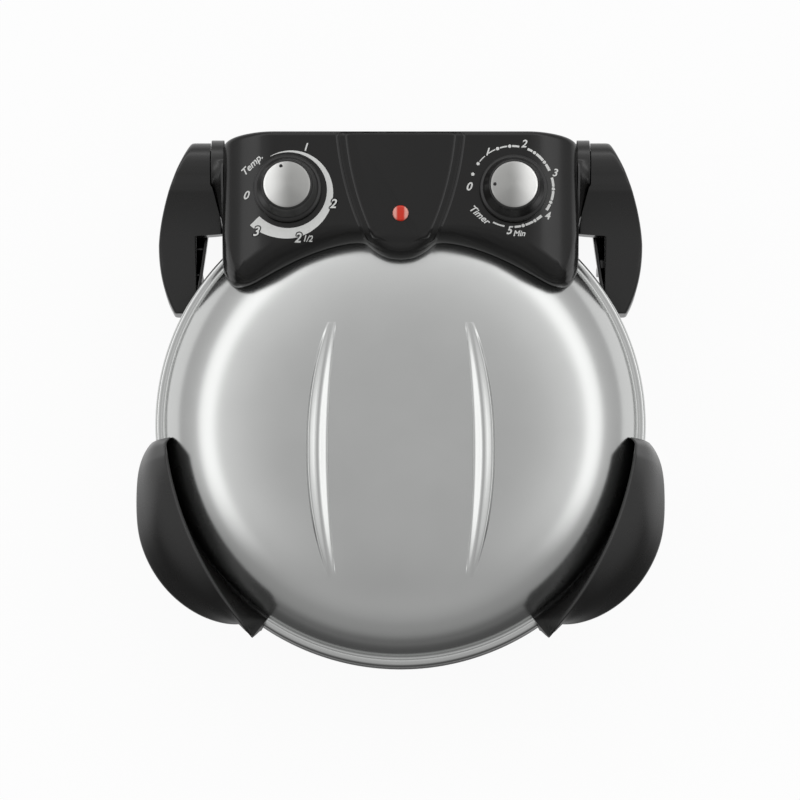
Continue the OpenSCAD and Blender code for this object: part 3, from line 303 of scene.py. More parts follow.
def corner_weights(count, share=0.3, steps=5):
    """Weights that turn a line of control points into one whose inner corners are rounded by quadratic curves.

    Each corner c is left at c + share (before - c) and joined again at c + share (after - c).
    """
    rows = [np.eye(count)[0]]
    for k in range(1, count - 1):
        for t in np.linspace(0, 1, steps):
            row = np.zeros(count)
            row[k - 1] = share * (1 - t) ** 2
            row[k + 1] = share * t ** 2
            row[k] = 1 - row[k - 1] - row[k + 1]
            rows.append(row)
    return np.array(rows + [np.eye(count)[-1]])


RIB_MIDDLE_Y = -26.0
RIB_HALF = 90.0
RIB_SLOPE = 0.53


def rib_pair():
    """Pressed ribs of the lid, left and right.

    Each is two ridges side by side along a bowed line. Their inner flanks rise by RIB_SLOPE of their width from
    the valley between them; widths shrink towards both pointed ends, where the ridges sink into the dome.
    """
    v = np.sin(np.linspace(-np.pi / 2, np.pi / 2, 200))[:, None]
    # bowed lines of the outer foot, the valley and the inner foot: place at the middle less the bow
    outer = 66.4 - 14.6 * np.abs(v) ** 2.2
    valley = 58.4 - 10.4 * v ** 2
    inner = 50.6 - 5.2 * v ** 2
    rise = RIB_SLOPE * np.clip(1 - v ** 2, 0, 1) ** 0.35
    across = np.concatenate([outer + 0.8, outer, outer - 1.6, valley + 1.0, valley - 1.0, inner + 0.6, inner,
                             inner - 0.5], axis=1)
    lift = np.concatenate([rise * 0 - 0.12, rise * 0, rise * (outer - 2.6 - valley), rise * 0.3, rise * 0.3,
                           rise * (valley - 1.6 - inner), rise * 0, rise * 0 - 0.12], axis=1)
    weights = corner_weights(8)
    across, lift = across @ weights.T, lift @ weights.T
    y = RIB_MIDDLE_Y + RIB_HALF * v + 0 * across
    z = RING_Z + dome_height(np.hypot(across, y), DOME_R, DOME_H) + lift
    right = surface("lid_ribs", np.stack([across, y, z], axis=-1))
    return join("lid_ribs", [right, mirrored("lid_ribs", right)])


# ---- materials ----


def hex_colour(text, alpha=1.0):
    """Linear colour of an sRGB hex value."""
    parts = [int(text[i:i + 2], 16) / 255 for i in (1, 3, 5)]
    linear = [p / 12.92 if p <= 0.04045 else ((p + 0.055) / 1.055) ** 2.4 for p in parts]
    return (*linear, alpha)


WHITE = (1.0, 1.0, 1.0, 1.0)


def add_node(tree, kind, inputs=None, **settings):
    """Adds a node with its settings; an input is a value or an output socket to link."""
    node = tree.nodes.new(kind)
    for key, value in settings.items():
        setattr(node, key, value)
    for key, value in (inputs or {}).items():
        if isinstance(value, bpy.types.NodeSocket):
            tree.links.new(value, node.inputs[key])
        else:
            node.inputs[key].default_value = value
    return node


def new_material(name, colour, **values):
    """A Principled material and its object coordinates; values are shader sockets by name."""
    material = bpy.data.materials.new(name)
    material.use_nodes = True
    tree = material.node_tree
    shader = tree.nodes["Principled BSDF"]
    shader.inputs["Base Color"].default_value = hex_colour(colour)
    material.diffuse_color = hex_colour(colour)
    for key, value in values.items():
        shader.inputs[key.replace("_", " ")].default_value = value
    return material, tree, shader, add_node(tree, "ShaderNodeTexCoord").outputs["Object"]


def grains(size_mm):
    """Noise scale whose cells are about size_mm across, for coordinates in metres."""
    return 1 / (size_mm * MM)


def noise(tree, where, size_mm, detail=3.0, roughness=0.55):
    """Noise output with cells of a real size."""
    return add_node(tree, "ShaderNodeTexNoise", {"Vector": where, "Scale": grains(size_mm), "Detail": detail,
                                                 "Roughness": roughness}).outputs["Fac"]


def span(tree, value, low, high):
    """Maps 0..1 to low..high."""
    return add_node(tree, "ShaderNodeMapRange", {"Value": value, "To Min": low, "To Max": high}).outputs["Result"]


def ease(tree, value, low, high, first=0.0, last=1.0):
    """Goes smoothly from first to last while the value goes from low to high."""
    return add_node(tree, "ShaderNodeMapRange", {"Value": value, "From Min": low, "From Max": high, "To Min": first,
                                                 "To Max": last}, interpolation_type="SMOOTHSTEP").outputs["Result"]


def axis_of(tree, vector, axis):
    """One axis of a vector output."""
    return add_node(tree, "ShaderNodeSeparateXYZ", {"Vector": vector}).outputs[axis]


def calculate(tree, operation, first, second):
    """Result of a two-value calculation."""
    return add_node(tree, "ShaderNodeMath", {0: first, 1: second}, operation=operation).outputs["Value"]


def blend_colours(tree, factor, first, second):
    """Colour between two, each a hex value or an output socket."""
    first, second = (hex_colour(c) if isinstance(c, str) else c for c in (first, second))
    return add_node(tree, "ShaderNodeMix", {"Factor": factor, "A": first, "B": second},
                    data_type="RGBA").outputs["Result"]


def bump(tree, shader, height, depth_mm):
    """Bump of a real depth on a shader."""
    node = add_node(tree, "ShaderNodeBump", {"Height": height, "Distance": depth_mm * MM})
    tree.links.new(node.outputs["Normal"], shader.inputs["Normal"])


def satin_steel():
    """Pressed 18/10 stainless sheet, brushed before pressing and clear-coated: soft, wide highlights with fine
    straight grain that only shows close up, and faint handling haze."""
    material, tree, shader, where = new_material("satin_stainless_sheet", "#cbcac8", Metallic=1.0, Roughness=0.26)
    stretched = add_node(tree, "ShaderNodeMapping", {"Vector": where, "Scale": (1.0, 0.02, 1.0)}).outputs["Vector"]
    grain = noise(tree, stretched, 0.5, 4.0)
    haze = noise(tree, where, 45.0, 3.0)
    both = calculate(tree, "ADD", span(tree, grain, -0.02, 0.02), span(tree, haze, 0.19, 0.23))
    tree.links.new(both, shader.inputs["Roughness"])
    tree.links.new(blend_colours(tree, haze, "#c4c5c4", "#cccdcc"), shader.inputs["Base Color"])
    bump(tree, shader, grain, 0.002)
    return material


def baking_stone():
    """Cordierite baking stone, pressed and fired: matt, sandy, with darker and paler grits."""
    material, tree, shader, where = new_material("fired_cordierite", "#cdb89a", Roughness=0.9)
    cloud = noise(tree, where, 40.0, 4.0)
    grit = noise(tree, where, 1.4, 3.0, 0.7)
    specks = add_node(tree, "ShaderNodeTexVoronoi", {"Vector": where, "Scale": grains(3.2)}).outputs["Distance"]
    dark = add_node(tree, "ShaderNodeMapRange", {"Value": specks, "From Min": 0.08,
                                                 "From Max": 0.2}).outputs["Result"]
    sand = blend_colours(tree, cloud, "#c9b393", "#dccbb0")
    tree.links.new(blend_colours(tree, dark, "#8c7355", sand), shader.inputs["Base Color"])
    bump(tree, shader, grit, 0.35)
    return material


DISC_R = 16.0
RING_PITCH = 0.6


def spun_disc(name, x):
    """Spun aluminium disc, circular-brushed: a silver face whose highlight runs out in two soft fans; its outer
    side is brighter by a highlight painted into its colour.
    The spread of the light follows the radius; fine rings stand for the tool marks."""
    material, tree, shader, where = new_material(name, "#bebebc", Metallic=1.0, Roughness=0.36, Anisotropic=0.8)
    place_m = (x * MM, (DIAL_Y + AXIS_Y) * MM, 0.0)
    centred = add_node(tree, "ShaderNodeVectorMath", {0: where, 1: place_m}, operation="SUBTRACT").outputs["Vector"]
    flat = add_node(tree, "ShaderNodeVectorMath", {0: centred, 1: (1.0, 1.0, 0.0)}, operation="MULTIPLY")
    outward = add_node(tree, "ShaderNodeVectorTransform", {"Vector": flat.outputs["Vector"]}, vector_type="VECTOR",
                       convert_from="OBJECT", convert_to="WORLD")
    tree.links.new(outward.outputs["Vector"], shader.inputs["Tangent"])
    # a ring wave of scale s has 20 s / (2 pi) rings a metre
    rings = add_node(tree, "ShaderNodeTexWave", {"Vector": centred, "Scale": 2 * math.pi / (20 * RING_PITCH * MM),
                     "Distortion": 0.3, "Detail": 2.0}, wave_type="RINGS", rings_direction="Z").outputs["Fac"]
    tree.links.new(span(tree, rings, 0.32, 0.4), shader.inputs["Roughness"])
    reach = math.copysign(DISC_R * MM, x)
    # painted highlight: the face's colour runs from grey to near white towards its outer side, standing in for the
    # light it catches there
    painted_highlight = ease(tree, axis_of(tree, centred, "X"), -0.25 * reach, 0.85 * reach)
    tree.links.new(blend_colours(tree, painted_highlight, "#aaaaa8", "#f8f8f6"), shader.inputs["Base Color"])
    return material


def red_lens():
    """Moulded clear red acrylic over a neon lamp: saturated and glossy, with highlights painted pale at both sides,
    faintly lit within.
    """
    material, tree, shader, where = new_material("red_acrylic_lens", "#d3311c", Roughness=0.12, IOR=1.49,
                                                 Transmission_Weight=0.25, Emission_Strength=0.12,
                                                 Emission_Color=hex_colour("#ff4a2a"))
    # painted highlights: the colour turns pale pink towards both sides
    sides = ease(tree, calculate(tree, "ABSOLUTE", axis_of(tree, where, "X"), 0.0), 1.9 * MM, 3.6 * MM)
    tree.links.new(blend_colours(tree, sides, "#d12a14", "#eeb4a8"), shader.inputs["Base Color"])
    return material


def ceramic():
    """Steatite ceramic bush and block: dull white, faintly stained by heat."""
    return clouded("steatite_ceramic", "#e6e1d6", (8.0, 4.0), ("#ece8de", "#d8cfbd"), relief=((0.6,), 0.03),
                   Roughness=0.6)


def zinc_steel():
    """Zinc-plated steel screws and sheet: bluish grey, with spangle."""
    material, tree, shader, where = new_material("zinc_plated_steel", "#a9acae", Metallic=1.0, Roughness=0.35)
    spangle = add_node(tree, "ShaderNodeTexVoronoi", {"Vector": where, "Scale": grains(4.0)}).outputs["Color"]
    bright = add_node(tree, "ShaderNodeSeparateColor", {"Color": spangle}).outputs["Red"]
    tree.links.new(blend_colours(tree, bright, "#a2a5a8", "#b4b7b9"), shader.inputs["Base Color"])
    tree.links.new(span(tree, bright, 0.28, 0.42), shader.inputs["Roughness"])
    return material


def clouded(name, colour, tint, tones, rough=None, relief=None, **values):
    """A finish made of noises, each written as cells in millimetres, detail and roughness.

    tint runs the colour between two tones; rough is a noise with its lowest and highest roughness; relief is a
    noise with its depth in millimetres.
    """
    material, tree, shader, where = new_material(name, colour, **values)
    clouds = {cells: noise(tree, where, *cells) for cells in {tint, *(row[0] for row in (rough, relief) if row)}}
    tree.links.new(blend_colours(tree, clouds[tint], *tones), shader.inputs["Base Color"])
    if rough:
        tree.links.new(span(tree, clouds[rough[0]], *rough[1:]), shader.inputs["Roughness"])
    if relief:
        bump(tree, shader, clouds[relief[0]], relief[1])
    return material


def black_plastic(name, colour, rough, depth, gloss):
    """Black moulding: near black with a soft broad sheen and a fine even texture of that depth."""
    return clouded(name, colour, (0.45, 3.0, 0.6), (colour, "#121110"), ((30.0, 2.0), rough - 0.04, rough + 0.05),
                   ((0.45, 3.0, 0.6), depth), Roughness=rough, IOR=1.54, Specular_IOR_Level=gloss)


def warm_metal(name, colour, dark):
    """Brass or copper with light tarnish, in colour and in gloss."""
    return clouded(name, colour, (5.0, 4.0), (colour, dark), ((5.0, 4.0), 0.25, 0.45), Metallic=1.0, Roughness=0.32)


MAKERS = {
    "steel": satin_steel, "stone": baking_stone, "lens": red_lens, "ceramic": ceramic, "zinc": zinc_steel,
    "temp_disc": lambda: spun_disc("spun_aluminium_painted_highlight_left", -DIAL_X),
    "timer_disc": lambda: spun_disc("spun_aluminium_painted_highlight_right", DIAL_X),
    # glass-filled PBT, spark-eroded satin; the turned knobs are a little greyer, housing and fascia smoother
    "plastic": lambda: black_plastic("moulded_pbt_black", "#0b0b0b", 0.27, 0.012, 0.6),
    "knob": lambda: black_plastic("turned_knob_black", "#0d0d0d", 0.3, 0.015, 0.45),
    "gloss": lambda: black_plastic("fine_satin_abs_black", "#0b0b0b", 0.21, 0.006, 0.38),
    # aluminised steel: bright, slightly mottled by the hot dip, with light heat tint
    "bright": lambda: clouded("aluminised_sheet", "#c8c8c6", (60.0, 2.0), ("#d6d5d2", "#cfcabf"),
                              ((6.0, 2.0), 0.3, 0.38), ((6.0, 2.0), 0.015), Metallic=1.0, Roughness=0.26),
    # nickel alloy sheath: oxidised dark grey-green, matt, with uneven heat colour along it
    "element": lambda: clouded("oxidised_element_sheath", "#4a4742", (22.0, 4.0), ("#3b3935", "#6a6258"),
                               ((0.8, 3.0), 0.45, 0.7), ((0.8, 3.0), 0.03), Metallic=0.8, Roughness=0.55),
    # neon lamp's small glass envelope: clear with a warm cast
    "glass": lambda: clouded("neon_lamp_glass", "#f0c9a6", (2.0,), ("#f0c9a6", "#f5dcc6"), Roughness=0.08,
                             Transmission_Weight=0.8),
    # nitrile foot rubber: matt, dusty black
    "rubber": lambda: clouded("moulded_nitrile_rubber", "#232323", (3.0, 4.0), ("#1c1c1c", "#313131"),
                              relief=((3.0, 4.0), 0.06), Roughness=0.85),
    # needled mineral wool: matt, fibrous, straw coloured
    "wool": lambda: clouded("needled_mineral_wool", "#cfc4a4", (1.2, 6.0, 0.75), ("#b9ad8a", "#e0d7bd"),
                            relief=((1.2, 6.0, 0.75), 0.9), Roughness=1.0, Sheen_Weight=0.3),
    # galvanised steel: dull grey with a fine, even spangle
    "cover": lambda: clouded("galvanised_cover_sheet", "#a4a7a8", (5.0, 5.0, 0.7), ("#989b9d", "#b0b3b4"),
                             ((5.0, 5.0, 0.7), 0.36, 0.55), ((5.0, 5.0, 0.7), 0.02), Metallic=1.0, Roughness=0.45),
    # phenolic body of the thermostat: brownish black, matt
    "body": lambda: clouded("moulded_phenolic_body", "#3a2c24", (5.0, 4.0), ("#33261f", "#43342b"),
                            relief=((5.0, 4.0), 0.03), Roughness=0.6),
    # silicone wire insulation: soft brick red
    "wire": lambda: clouded("extruded_silicone_insulation", "#9c3a2c", (4.0,), ("#933325", "#a84434"),
                            Roughness=0.6),
    "brass": lambda: warm_metal("turned_brass", "#b99a5a", "#8d6f3a"),
    "copper": lambda: warm_metal("drawn_copper", "#b5714f", "#8a5238"),
    # pad-printed epoxy ink: flat, thin and matt, slightly uneven at this size
    "white_ink": lambda: clouded("white_pad_print", "#e3e4e2", (2.5, 2.0), ("#d9dad8", "#e3e4e2"), Roughness=0.6),
    "black_ink": lambda: clouded("black_pad_print", "#161616", (2.5, 2.0), ("#0c0c0c", "#161616"), Roughness=0.6),
}
_made = {}


def finish(name):
    """The material of that short name, made once."""
    if name not in _made:
        _made[name] = MAKERS[name]()
    return _made[name]


# ---- lid and base: pressed sheet, stone and heaters ----


def turned(name, outline, segments, centre=(0.0, 0.0), closed=False):
    """A turned piece: an outline of (radius, height) points carried round an upright line."""
    outline = np.asarray(outline, float)
    angle = np.linspace(0, 2 * np.pi, segments, endpoint=False)
    radius, height = outline[:, :1], outline[:, 1:]
    points = np.stack([centre[0] + radius * np.cos(angle), centre[1] + radius * np.sin(angle), height + 0 * angle],
                      axis=-1)
    return surface(name, points, closed, True)


def lid_cover():
    """Lid of pressed sheet: the flattened dome z = h (1 - (r/R)^4)^0.625 turned round the axis.

    A groove and a rolled bead run round its ring, then come the upright skirt with a hemmed edge and the same
    form again inside.
    """
    steep = np.linspace(0, np.pi / 2, 96)
    reach = DOME_R * np.sin(steep[:-1]) ** 0.5
    outer = np.stack([reach, RING_Z + dome_height(reach, DOME_R, DOME_H)], axis=1)
    outer = outer[outer[:, 1] > RING_Z + 0.9]
    # groove, bead, skirt, hem and the sheet's underside, out and up from the dome's foot
    bead = np.array([[0.15, 0.8], [0.5, 0.25], [1.1, 0.0], [1.8, 0.15], [2.6, 0.45], [3.5, 0.6], [4.4, 0.5],
                     [5.3, 0.2], [6.0, -0.3], [6.6, -1.1], [6.9, -2.2], [7.0, -3.4], [7.0, 1.8 - SKIRT_H],
                     [6.85, 0.7 - SKIRT_H], [6.4, 0.1 - SKIRT_H], [5.9, 0.1 - SKIRT_H], [5.6, 0.7 - SKIRT_H],
                     [5.6, -2.2], [4.9, -1.3], [3.0, -LID_SHEET], [0.0, -LID_SHEET]]) + (DOME_R, RING_Z)
    inner = dome_outline(DOME_R - LID_SHEET, DOME_H, RING_Z - LID_SHEET, 34)[::-1]
    return turned("lid_cover", np.concatenate([outer, bead, inner[1:]]), 384)


def bowl_skin():
    """Base bowl: the same family of curve turned upside down, with the band, its flange and the open floor."""
    a = np.linspace(math.asin((FLOOR_HOLE_R / BOWL_R) ** 2), np.pi / 2, 60)
    reach, drop = np.sin(a) ** 0.5, BOWL_DEPTH * np.cos(a) ** 1.25
    outer = np.stack([BOWL_R * reach, BAND_Z - drop], axis=1)
    inner = np.stack([(BOWL_R - SHEET) * reach, BAND_Z + SHEET - drop], axis=1)
    low = np.array([[BOWL_R + 0.6 - RIM_R, -0.1], [-1.0, 0], [-0.2, 0.3], [0, 1.0]]) + (RIM_R, BAND_Z)
    flange = np.array([[0, -1.0], [-0.25, -0.25], [-1.0, 0], [-9, 0], [-9, -1], [-1.8, -1],
                       [-1.1, -1.6]]) + (RIM_R, SEAM_Z)
    back = np.array([[-1.1, 1.6], [-1.8, 1.05]]) + (RIM_R, BAND_Z)
    return turned("base_bowl_skin", np.concatenate([outer[:-1], low, flange, back, inner[::-1]]), 288, closed=True)


def liner_skin():
    """Liner pan, a turned outline: floor, sloping wall, ledge for the stone, upright wall and out-turned rim.

    Its corners are rounded as a press leaves them.
    """
    ledge_in, wall = STONE_R - 5.5, STONE_R + 3.5
    floor_z, floor_r, rim = STONE_LOW_Z - 20, ledge_in - 8, SEAM_Z - SHEET
    top = np.array([[0, floor_z], [floor_r, floor_z], [ledge_in, STONE_LOW_Z], [wall, STONE_LOW_Z],
                    [wall, rim], [RIM_R - SHEET - 2, rim]], float)
    under = top[::-1] + (0, -0.8)
    under[1:3, 0] += 0.8
    under[3:5, 0] += 0.6
    radii = [0, 5, 3, 1.5, 2.5, 0]
    outline = np.concatenate([open_corners(top, radii), open_corners(under, radii[::-1])])
    return turned("liner_skin", outline, 256)


def baking_disc():
    """Baking stone: a disc with its edges rounded, and a very slight crown that firing leaves."""
    edge = STONE_R - STONE_ROUND
    reach = np.linspace(0, edge, 40)
    a = np.linspace(np.pi / 2, 0, 7)
    out, up = edge + STONE_ROUND * np.cos(a), STONE_ROUND * (1 - np.sin(a))
    round_top = np.stack([out, STONE_TOP_Z - up], axis=1)
    round_low = np.stack([out, STONE_LOW_Z + up], axis=1)[::-1]
    face = np.stack([reach, STONE_TOP_Z - 0.1 * (reach / STONE_R) ** 2 * (1 - (reach / STONE_R) ** 8)], axis=1)
    outline = np.concatenate([face, round_top[1:], round_low, [[0, STONE_LOW_Z]]])
    return turned("baking_disc", outline, 256)


def reflector_skin():
    """Bright reflector in the lid: a shallower dome of the same family with its flat rim."""
    radius, height = RIM_R - 19, 34
    foot, thick = RING_Z - 1.8, 0.8
    rim_r = RIM_R - SHEET - FIT
    inner = dome_outline(radius - 0.2, height, foot, 70)
    outer = dome_outline(radius + thick, height, foot + thick, 70)[::-1]
    edge = [[rim_r - 0.4, foot], [rim_r, foot + 0.4], [rim_r - 0.4, foot + thick]]
    outline = np.concatenate([inner, edge, outer])
    return turned("reflector_skin", outline, 256)


HEATER_D = 6.5
LEG_PITCH = 26
LOOP_GAP = 46
LEG_BEND = 14
PIN_LENGTH = 9


def element_way(end, outer, inner):
    """Way of a heater: leg in, round the inner loop, half a turn across, round the outer loop and leg out."""
    x = LEG_PITCH / 2
    bend, middle = (outer - inner) / 2, (outer + inner) / 2
    turn = math.degrees(math.asin((x + bend + HEATER_D + 5) / middle))
    in_a = 90 - math.degrees(math.asin(x / inner)) + 12
    out_a = -270 + math.degrees(math.asin(x / outer)) + 8

    def polar(degrees):
        return np.stack([np.cos(np.radians(degrees)), np.sin(np.radians(degrees))], axis=-1)

    out, side = polar(90 - turn), polar(180 - turn)
    half = np.radians(np.arange(8, 173, 8))[:, None]
    parts = [
        np.array([[x, end], [x, (end + inner + LEG_BEND) / 2]]),
        curve((x, inner + LEG_BEND), (x, inner), inner * polar(in_a), 8),
        inner * polar(np.linspace(in_a, 450 - turn, 120)[1:]),
        middle * out + bend * (np.sin(half) * side - np.cos(half) * out),
        outer * polar(np.linspace(90 - turn, out_a, 160)),
        curve(outer * polar(out_a - 3), (-x, outer), (-x, outer + LEG_BEND), 8),
        np.array([[-x, (outer + LEG_BEND + end) / 2], [-x, end]]),
    ]
    flat = np.concatenate(parts)
    return np.concatenate([flat, np.zeros((len(flat), 1))], axis=1)


def heater(name, node):
    """A tubular heater on its own way, with the thin terminal pins at its two ends."""
    low, high = box_mm(node)
    outer = high[0] - HEATER_D / 2
    z = (low[2] + high[2]) / 2
    end = high[1] - AXIS_Y - PIN_LENGTH
    way = element_way(end, outer, outer - LOOP_GAP) + (0, 0, z)
    pieces = [tube(name, way, HEATER_D / 2, 20)]
    for x in (-LEG_PITCH / 2, LEG_PITCH / 2):
        pin = [(x, end + along, z) for along in (-1, PIN_LENGTH / 2, PIN_LENGTH)]
        pieces.append(tube(name, pin, 1.5, 14))
    return join(name, pieces)


# ---- control housing ----

HOUSING_BACK = 200.5
TONGUE_Y = 109.5
FRONT_Y = 122.0
CORNER_Y = 91.2
SIDE_ROUND = 38.0
SPINE_Y = 150.0
SPINE_HALF = 84.0
WALL_LEAN = 2.8
ROLL_DEPTH = 0.85
# place along the outline from front to back, width and power of the roll, its share of the room over the lid, and
# its depth where that share is 0
ROLL = np.array([(0, 8, 1.6, 1, 4), (0.08, 9, 1.6, 1, 4), (0.2, 16, 1.5, 1, 4), (0.31, 16, 1.5, 1, 4),
                 (0.45, 3, 2, 0, 3), (0.62, 4, 2, 0, 4), (1, 4, 2, 0, 4)])
HUB_R = 18.0
HUB_FOOT = 27.0
# inset and rise of the fascia's rows: lip, valley, step and flat face
FASCIA_ROWS = np.array([(0.0, -0.9), (0.05, 0.25), (1.7, 1.05), (2.0, 1.1), (2.2, 0.9), (2.3, 0.2), (2.6, 0.1),
                        (6.2, 0.1), (6.5, 0.2), (6.7, 0.9), (7.9, 1.55), (8.4, 1.65), (9.2, 1.7), (11.5, 1.7),
                        (14.5, 1.7)])


def housing_outline(columns=121):
    """Right half of the housing's plan from the middle of its front to the middle of its back.

    Both halves of it, before and after the middle of the side, get the same number of points.
    """
    x = HOUSING_X
    front = np.concatenate([
        [[0, TONGUE_Y]], curve((7, TONGUE_Y + 0.6), (16, TONGUE_Y + 3), (25, FRONT_Y), 24),
        curve((32, FRONT_Y + 0.2), (57, FRONT_Y - 2), (88, CORNER_Y + 11.5), 30),
        curve((99, CORNER_Y + 5.5), (115, CORNER_Y - 4), (x - 5, CORNER_Y + 5), 24),
        curve((x - 4, CORNER_Y + 7), (x, CORNER_Y + 13), (x, CORNER_Y + 26), 12), [[x, SPINE_Y]]])
    back = np.concatenate([
        [[x, SPINE_Y], [x, HOUSING_BACK - 8]],
        curve((x, HOUSING_BACK - 7), (x - 3, HOUSING_BACK - 0.5), (x - 28, HOUSING_BACK), 24), [[0, HOUSING_BACK]]])
    return np.concatenate([softened(even_points(front, columns), 3), even_points(back, columns)[1:]])


SIDE_SHARES = np.linspace(0, 1, 201)
SIDE_TILTS = np.interp(SIDE_SHARES, [0, 0.12, 0.28, 0.42, 0.6, 0.75, 0.85, 0.93, 0.97, 1],
                       [0, 9, 21, 25, 28, 34, 43, 58, 70, 84])
SIDE_FALLS = np.cumsum(np.tan(np.radians(SIDE_TILTS))) * SIDE_ROUND / 200


def panel_top(x):
    """Height of the panel across the object: flat between the dials, then down to each side.

    Its tilt follows SIDE_TILTS, a long slope of about 25 degrees that turns down at the edge.
    """
    out = np.clip((np.abs(x) - (HOUSING_X - SIDE_ROUND)) / SIDE_ROUND, 0, 1)
    return PANEL_Z - np.interp(out, SIDE_SHARES, SIDE_FALLS)


def lid_face(x, y):
    """Height of the lid's outside at plan places, or the housing's floor beyond the rim."""
    reach = np.hypot(x, y)
    over = RING_Z + dome_height(reach, DOME_R, DOME_H) + FIT
    return np.where(reach < RIM_R + FIT, over, HOUSING_Z)


def edge_fall(x, y):
    """How far the panel has rolled down at plan places, by their distance d from the housing's outline.

    It is fall (1 - (1 - (1 - d/w)^p)^(1/p)): a roll of width w up to 16 in front that ends just over the lid, and
    a small round of 3 to 4 at the sides and the back.
    """
    line = housing_outline()
    gap = np.hypot(np.abs(x)[..., None] - line[:, 0], y[..., None] - line[:, 1])
    index = gap.argmin(axis=-1)
    width, power, front, small = (np.interp(index / (len(line) - 1), ROLL[:, 0], row) for row in ROLL[:, 1:].T)
    room = np.clip(panel_top(line[:, 0]) - lid_face(line[:, 0], line[:, 1]), 2, None) * ROLL_DEPTH
    fall = front * room[index] + (1 - front) * small
    near = np.clip(1 - gap.min(axis=-1) / width, 0, 1)
    return fall * (1 - (1 - near ** power) ** (1 / power))


def housing_skin():
    """Control housing as one moulding: its plan outline is drawn in row by row towards a spine along the middle.

    The top follows panel_top less edge_fall; the wall goes down to the lid.
    """
    half = housing_outline()
    loop = both_halves(half)
    spine = np.minimum(half[:, 0], SPINE_HALF)
    spine = (spine + spine[::-1]) / 2
    target = np.stack([np.concatenate([spine, -spine[-2:0:-1]]), np.full(len(loop), SPINE_Y)], axis=1)
    share = (np.linspace(0, 1, 60) ** 2.0)[:, None, None]
    top_xy = loop + (target - loop) * share
    low = lid_face(top_xy[..., 0], top_xy[..., 1])
    z = panel_top(top_xy[..., 0]) - edge_fall(top_xy[..., 0], top_xy[..., 1])
    top = np.concatenate([top_xy, np.maximum(z, low + 0.5)[..., None]], axis=2)
    # the back wall leans in towards the bottom
    lean = WALL_LEAN * smoothstep(HOUSING_BACK - 12, HOUSING_BACK, loop[:, 1])
    height = top[0, :, 2] + (low[0] - top[0, :, 2]) * np.linspace(0.08, 1, 9)[:, None]
    wall_y = loop[:, 1] - lean * np.clip((PANEL_Z - 4 - height) / 32, 0, 1)
    wall = np.stack([loop[:, 0] + 0 * height, wall_y, height], axis=2)
    floor_xy = top_xy[1:] + 0.0
    floor_xy[..., 1] += (wall_y[-1] - loop[:, 1]) * (1 - share[1:, :, 0])
    floor = np.concatenate([floor_xy, lid_face(floor_xy[..., 0], floor_xy[..., 1])[..., None]], axis=2)
    points = np.concatenate([top[::-1], wall, floor[::3], floor[-1:]])
    return surface("housing_skin", points, False, True, smooth=30)


def hub_points(count=96):
    """Hub: an outline of (radius, x) turned about the hinge axis.

    Beyond HUB_R it only spreads towards the front, to HUB_R + HUB_FOOT on the housing's side.
    """
    outline = np.concatenate([
        curve((45, HOUSING_X - 0.6), (45, HOUSING_X + 0.6), (38, HOUSING_X + 1.4), 6),
        curve((33, HOUSING_X + 2.3), (24, HOUSING_X + 4.2), (19.5, HOUSING_X + 6.4), 10),
        curve((18.6, HOUSING_X + 7.0), (18, HOUSING_X + 7.3), (18, HOUSING_X + 7.6), 4),
        curve((18, HUB_X - 0.5), (18, HUB_X), (17.4, HUB_X), 5), [[14, HUB_X], [0, HUB_X]]])
    angle = np.linspace(0, 2 * np.pi, count, endpoint=False)[None, :]
    radius, x = outline[:, :1], outline[:, 1:]
    extra = np.clip(radius - HUB_R, 0, None)
    front = np.clip(-np.cos(angle), 0, 1) ** 0.6
    up = np.where(np.sin(angle) > 0, 10, -4) / HUB_FOOT
    small = np.minimum(radius, HUB_R)
    y = HINGE_Y + np.cos(angle) * (small + extra * front)
    z = HINGE_Z + np.sin(angle) * (small + extra * front * up)
    return np.stack([x + 0 * angle, y, z], axis=-1)


def hinge_hubs():
    """Both hubs, each closed at its outer face."""
    right = surface("hinge_hubs", hub_points(), False, True, smooth=50)
    left = mirrored("hinge_hubs", right)
    return join("hinge_hubs", [right, left])


def fascia_outline(inset=0.0, count=160):
    """Plan of the raised fascia: a tongue in front, sides that spread towards the back; drawn in by inset."""
    first = TONGUE_Y + 2 + inset
    half = np.concatenate([
        [[0, first]], curve((5, first + 0.4), (17 - inset, TONGUE_Y + 4.5 + inset), (26 - inset, FRONT_Y + 1), 12),
        curve((27 - inset, FRONT_Y + 2.5), (42.2 - inset, FRONT_Y + 35), (46 - inset, HOUSING_BACK - 4), 30)])
    half = softened(even_points(half, count), 4)
    back = half[-1, 1] + (3.0 - inset * 0.2)
    end = np.array([[half[-1, 0] * k, back] for k in np.linspace(0.98, 0.0, 12)])
    return np.concatenate([half, end])


def fascia_skin():
    """Raised middle fascia: rows of its outline drawn in by an inset and raised by a rise.

    They make a fine lip along its edge, a shallow valley inside it and a soft step up to its flat face; lip and
    step die out towards the tip of the tongue, where the panel rolls down.
    """
    rings = []
    for inset, rise in FASCIA_ROWS:
        loop = both_halves(fascia_outline(inset))
        tip = smoothstep(FRONT_Y + 3, FRONT_Y - 4, loop[:, 1])
        z = PANEL_Z - edge_fall(loop[:, 0], loop[:, 1]) + rise * (1 - 0.97 * tip * (rise > 0))
        rings.append(np.concatenate([loop, z[:, None]], axis=1))
    under = rings[0] - (0, 0, 1.5)
    return surface("fascia_skin", np.array(rings[::-1] + [under]), False, True, caps=True, smooth=30)


# ---- hinge arms ----

ARM_FRONT = 83.0
ARM_BACK = 200.5
ARM_ROOF = (164.5, 174.5)
ARM_TOP_R = 16.0
STRIP_X = 11.5
TROUGH_Y = (97.0, 152.0)
TROUGH_TOP = 85.0
TROUGH_X = 142.5
# place along the object and width of the cross ribs in each trough
RIGHT_RIBS = ((116, 6), (103, 1.6))
LEFT_RIBS = ((129, 1.6), (110, 1.6))


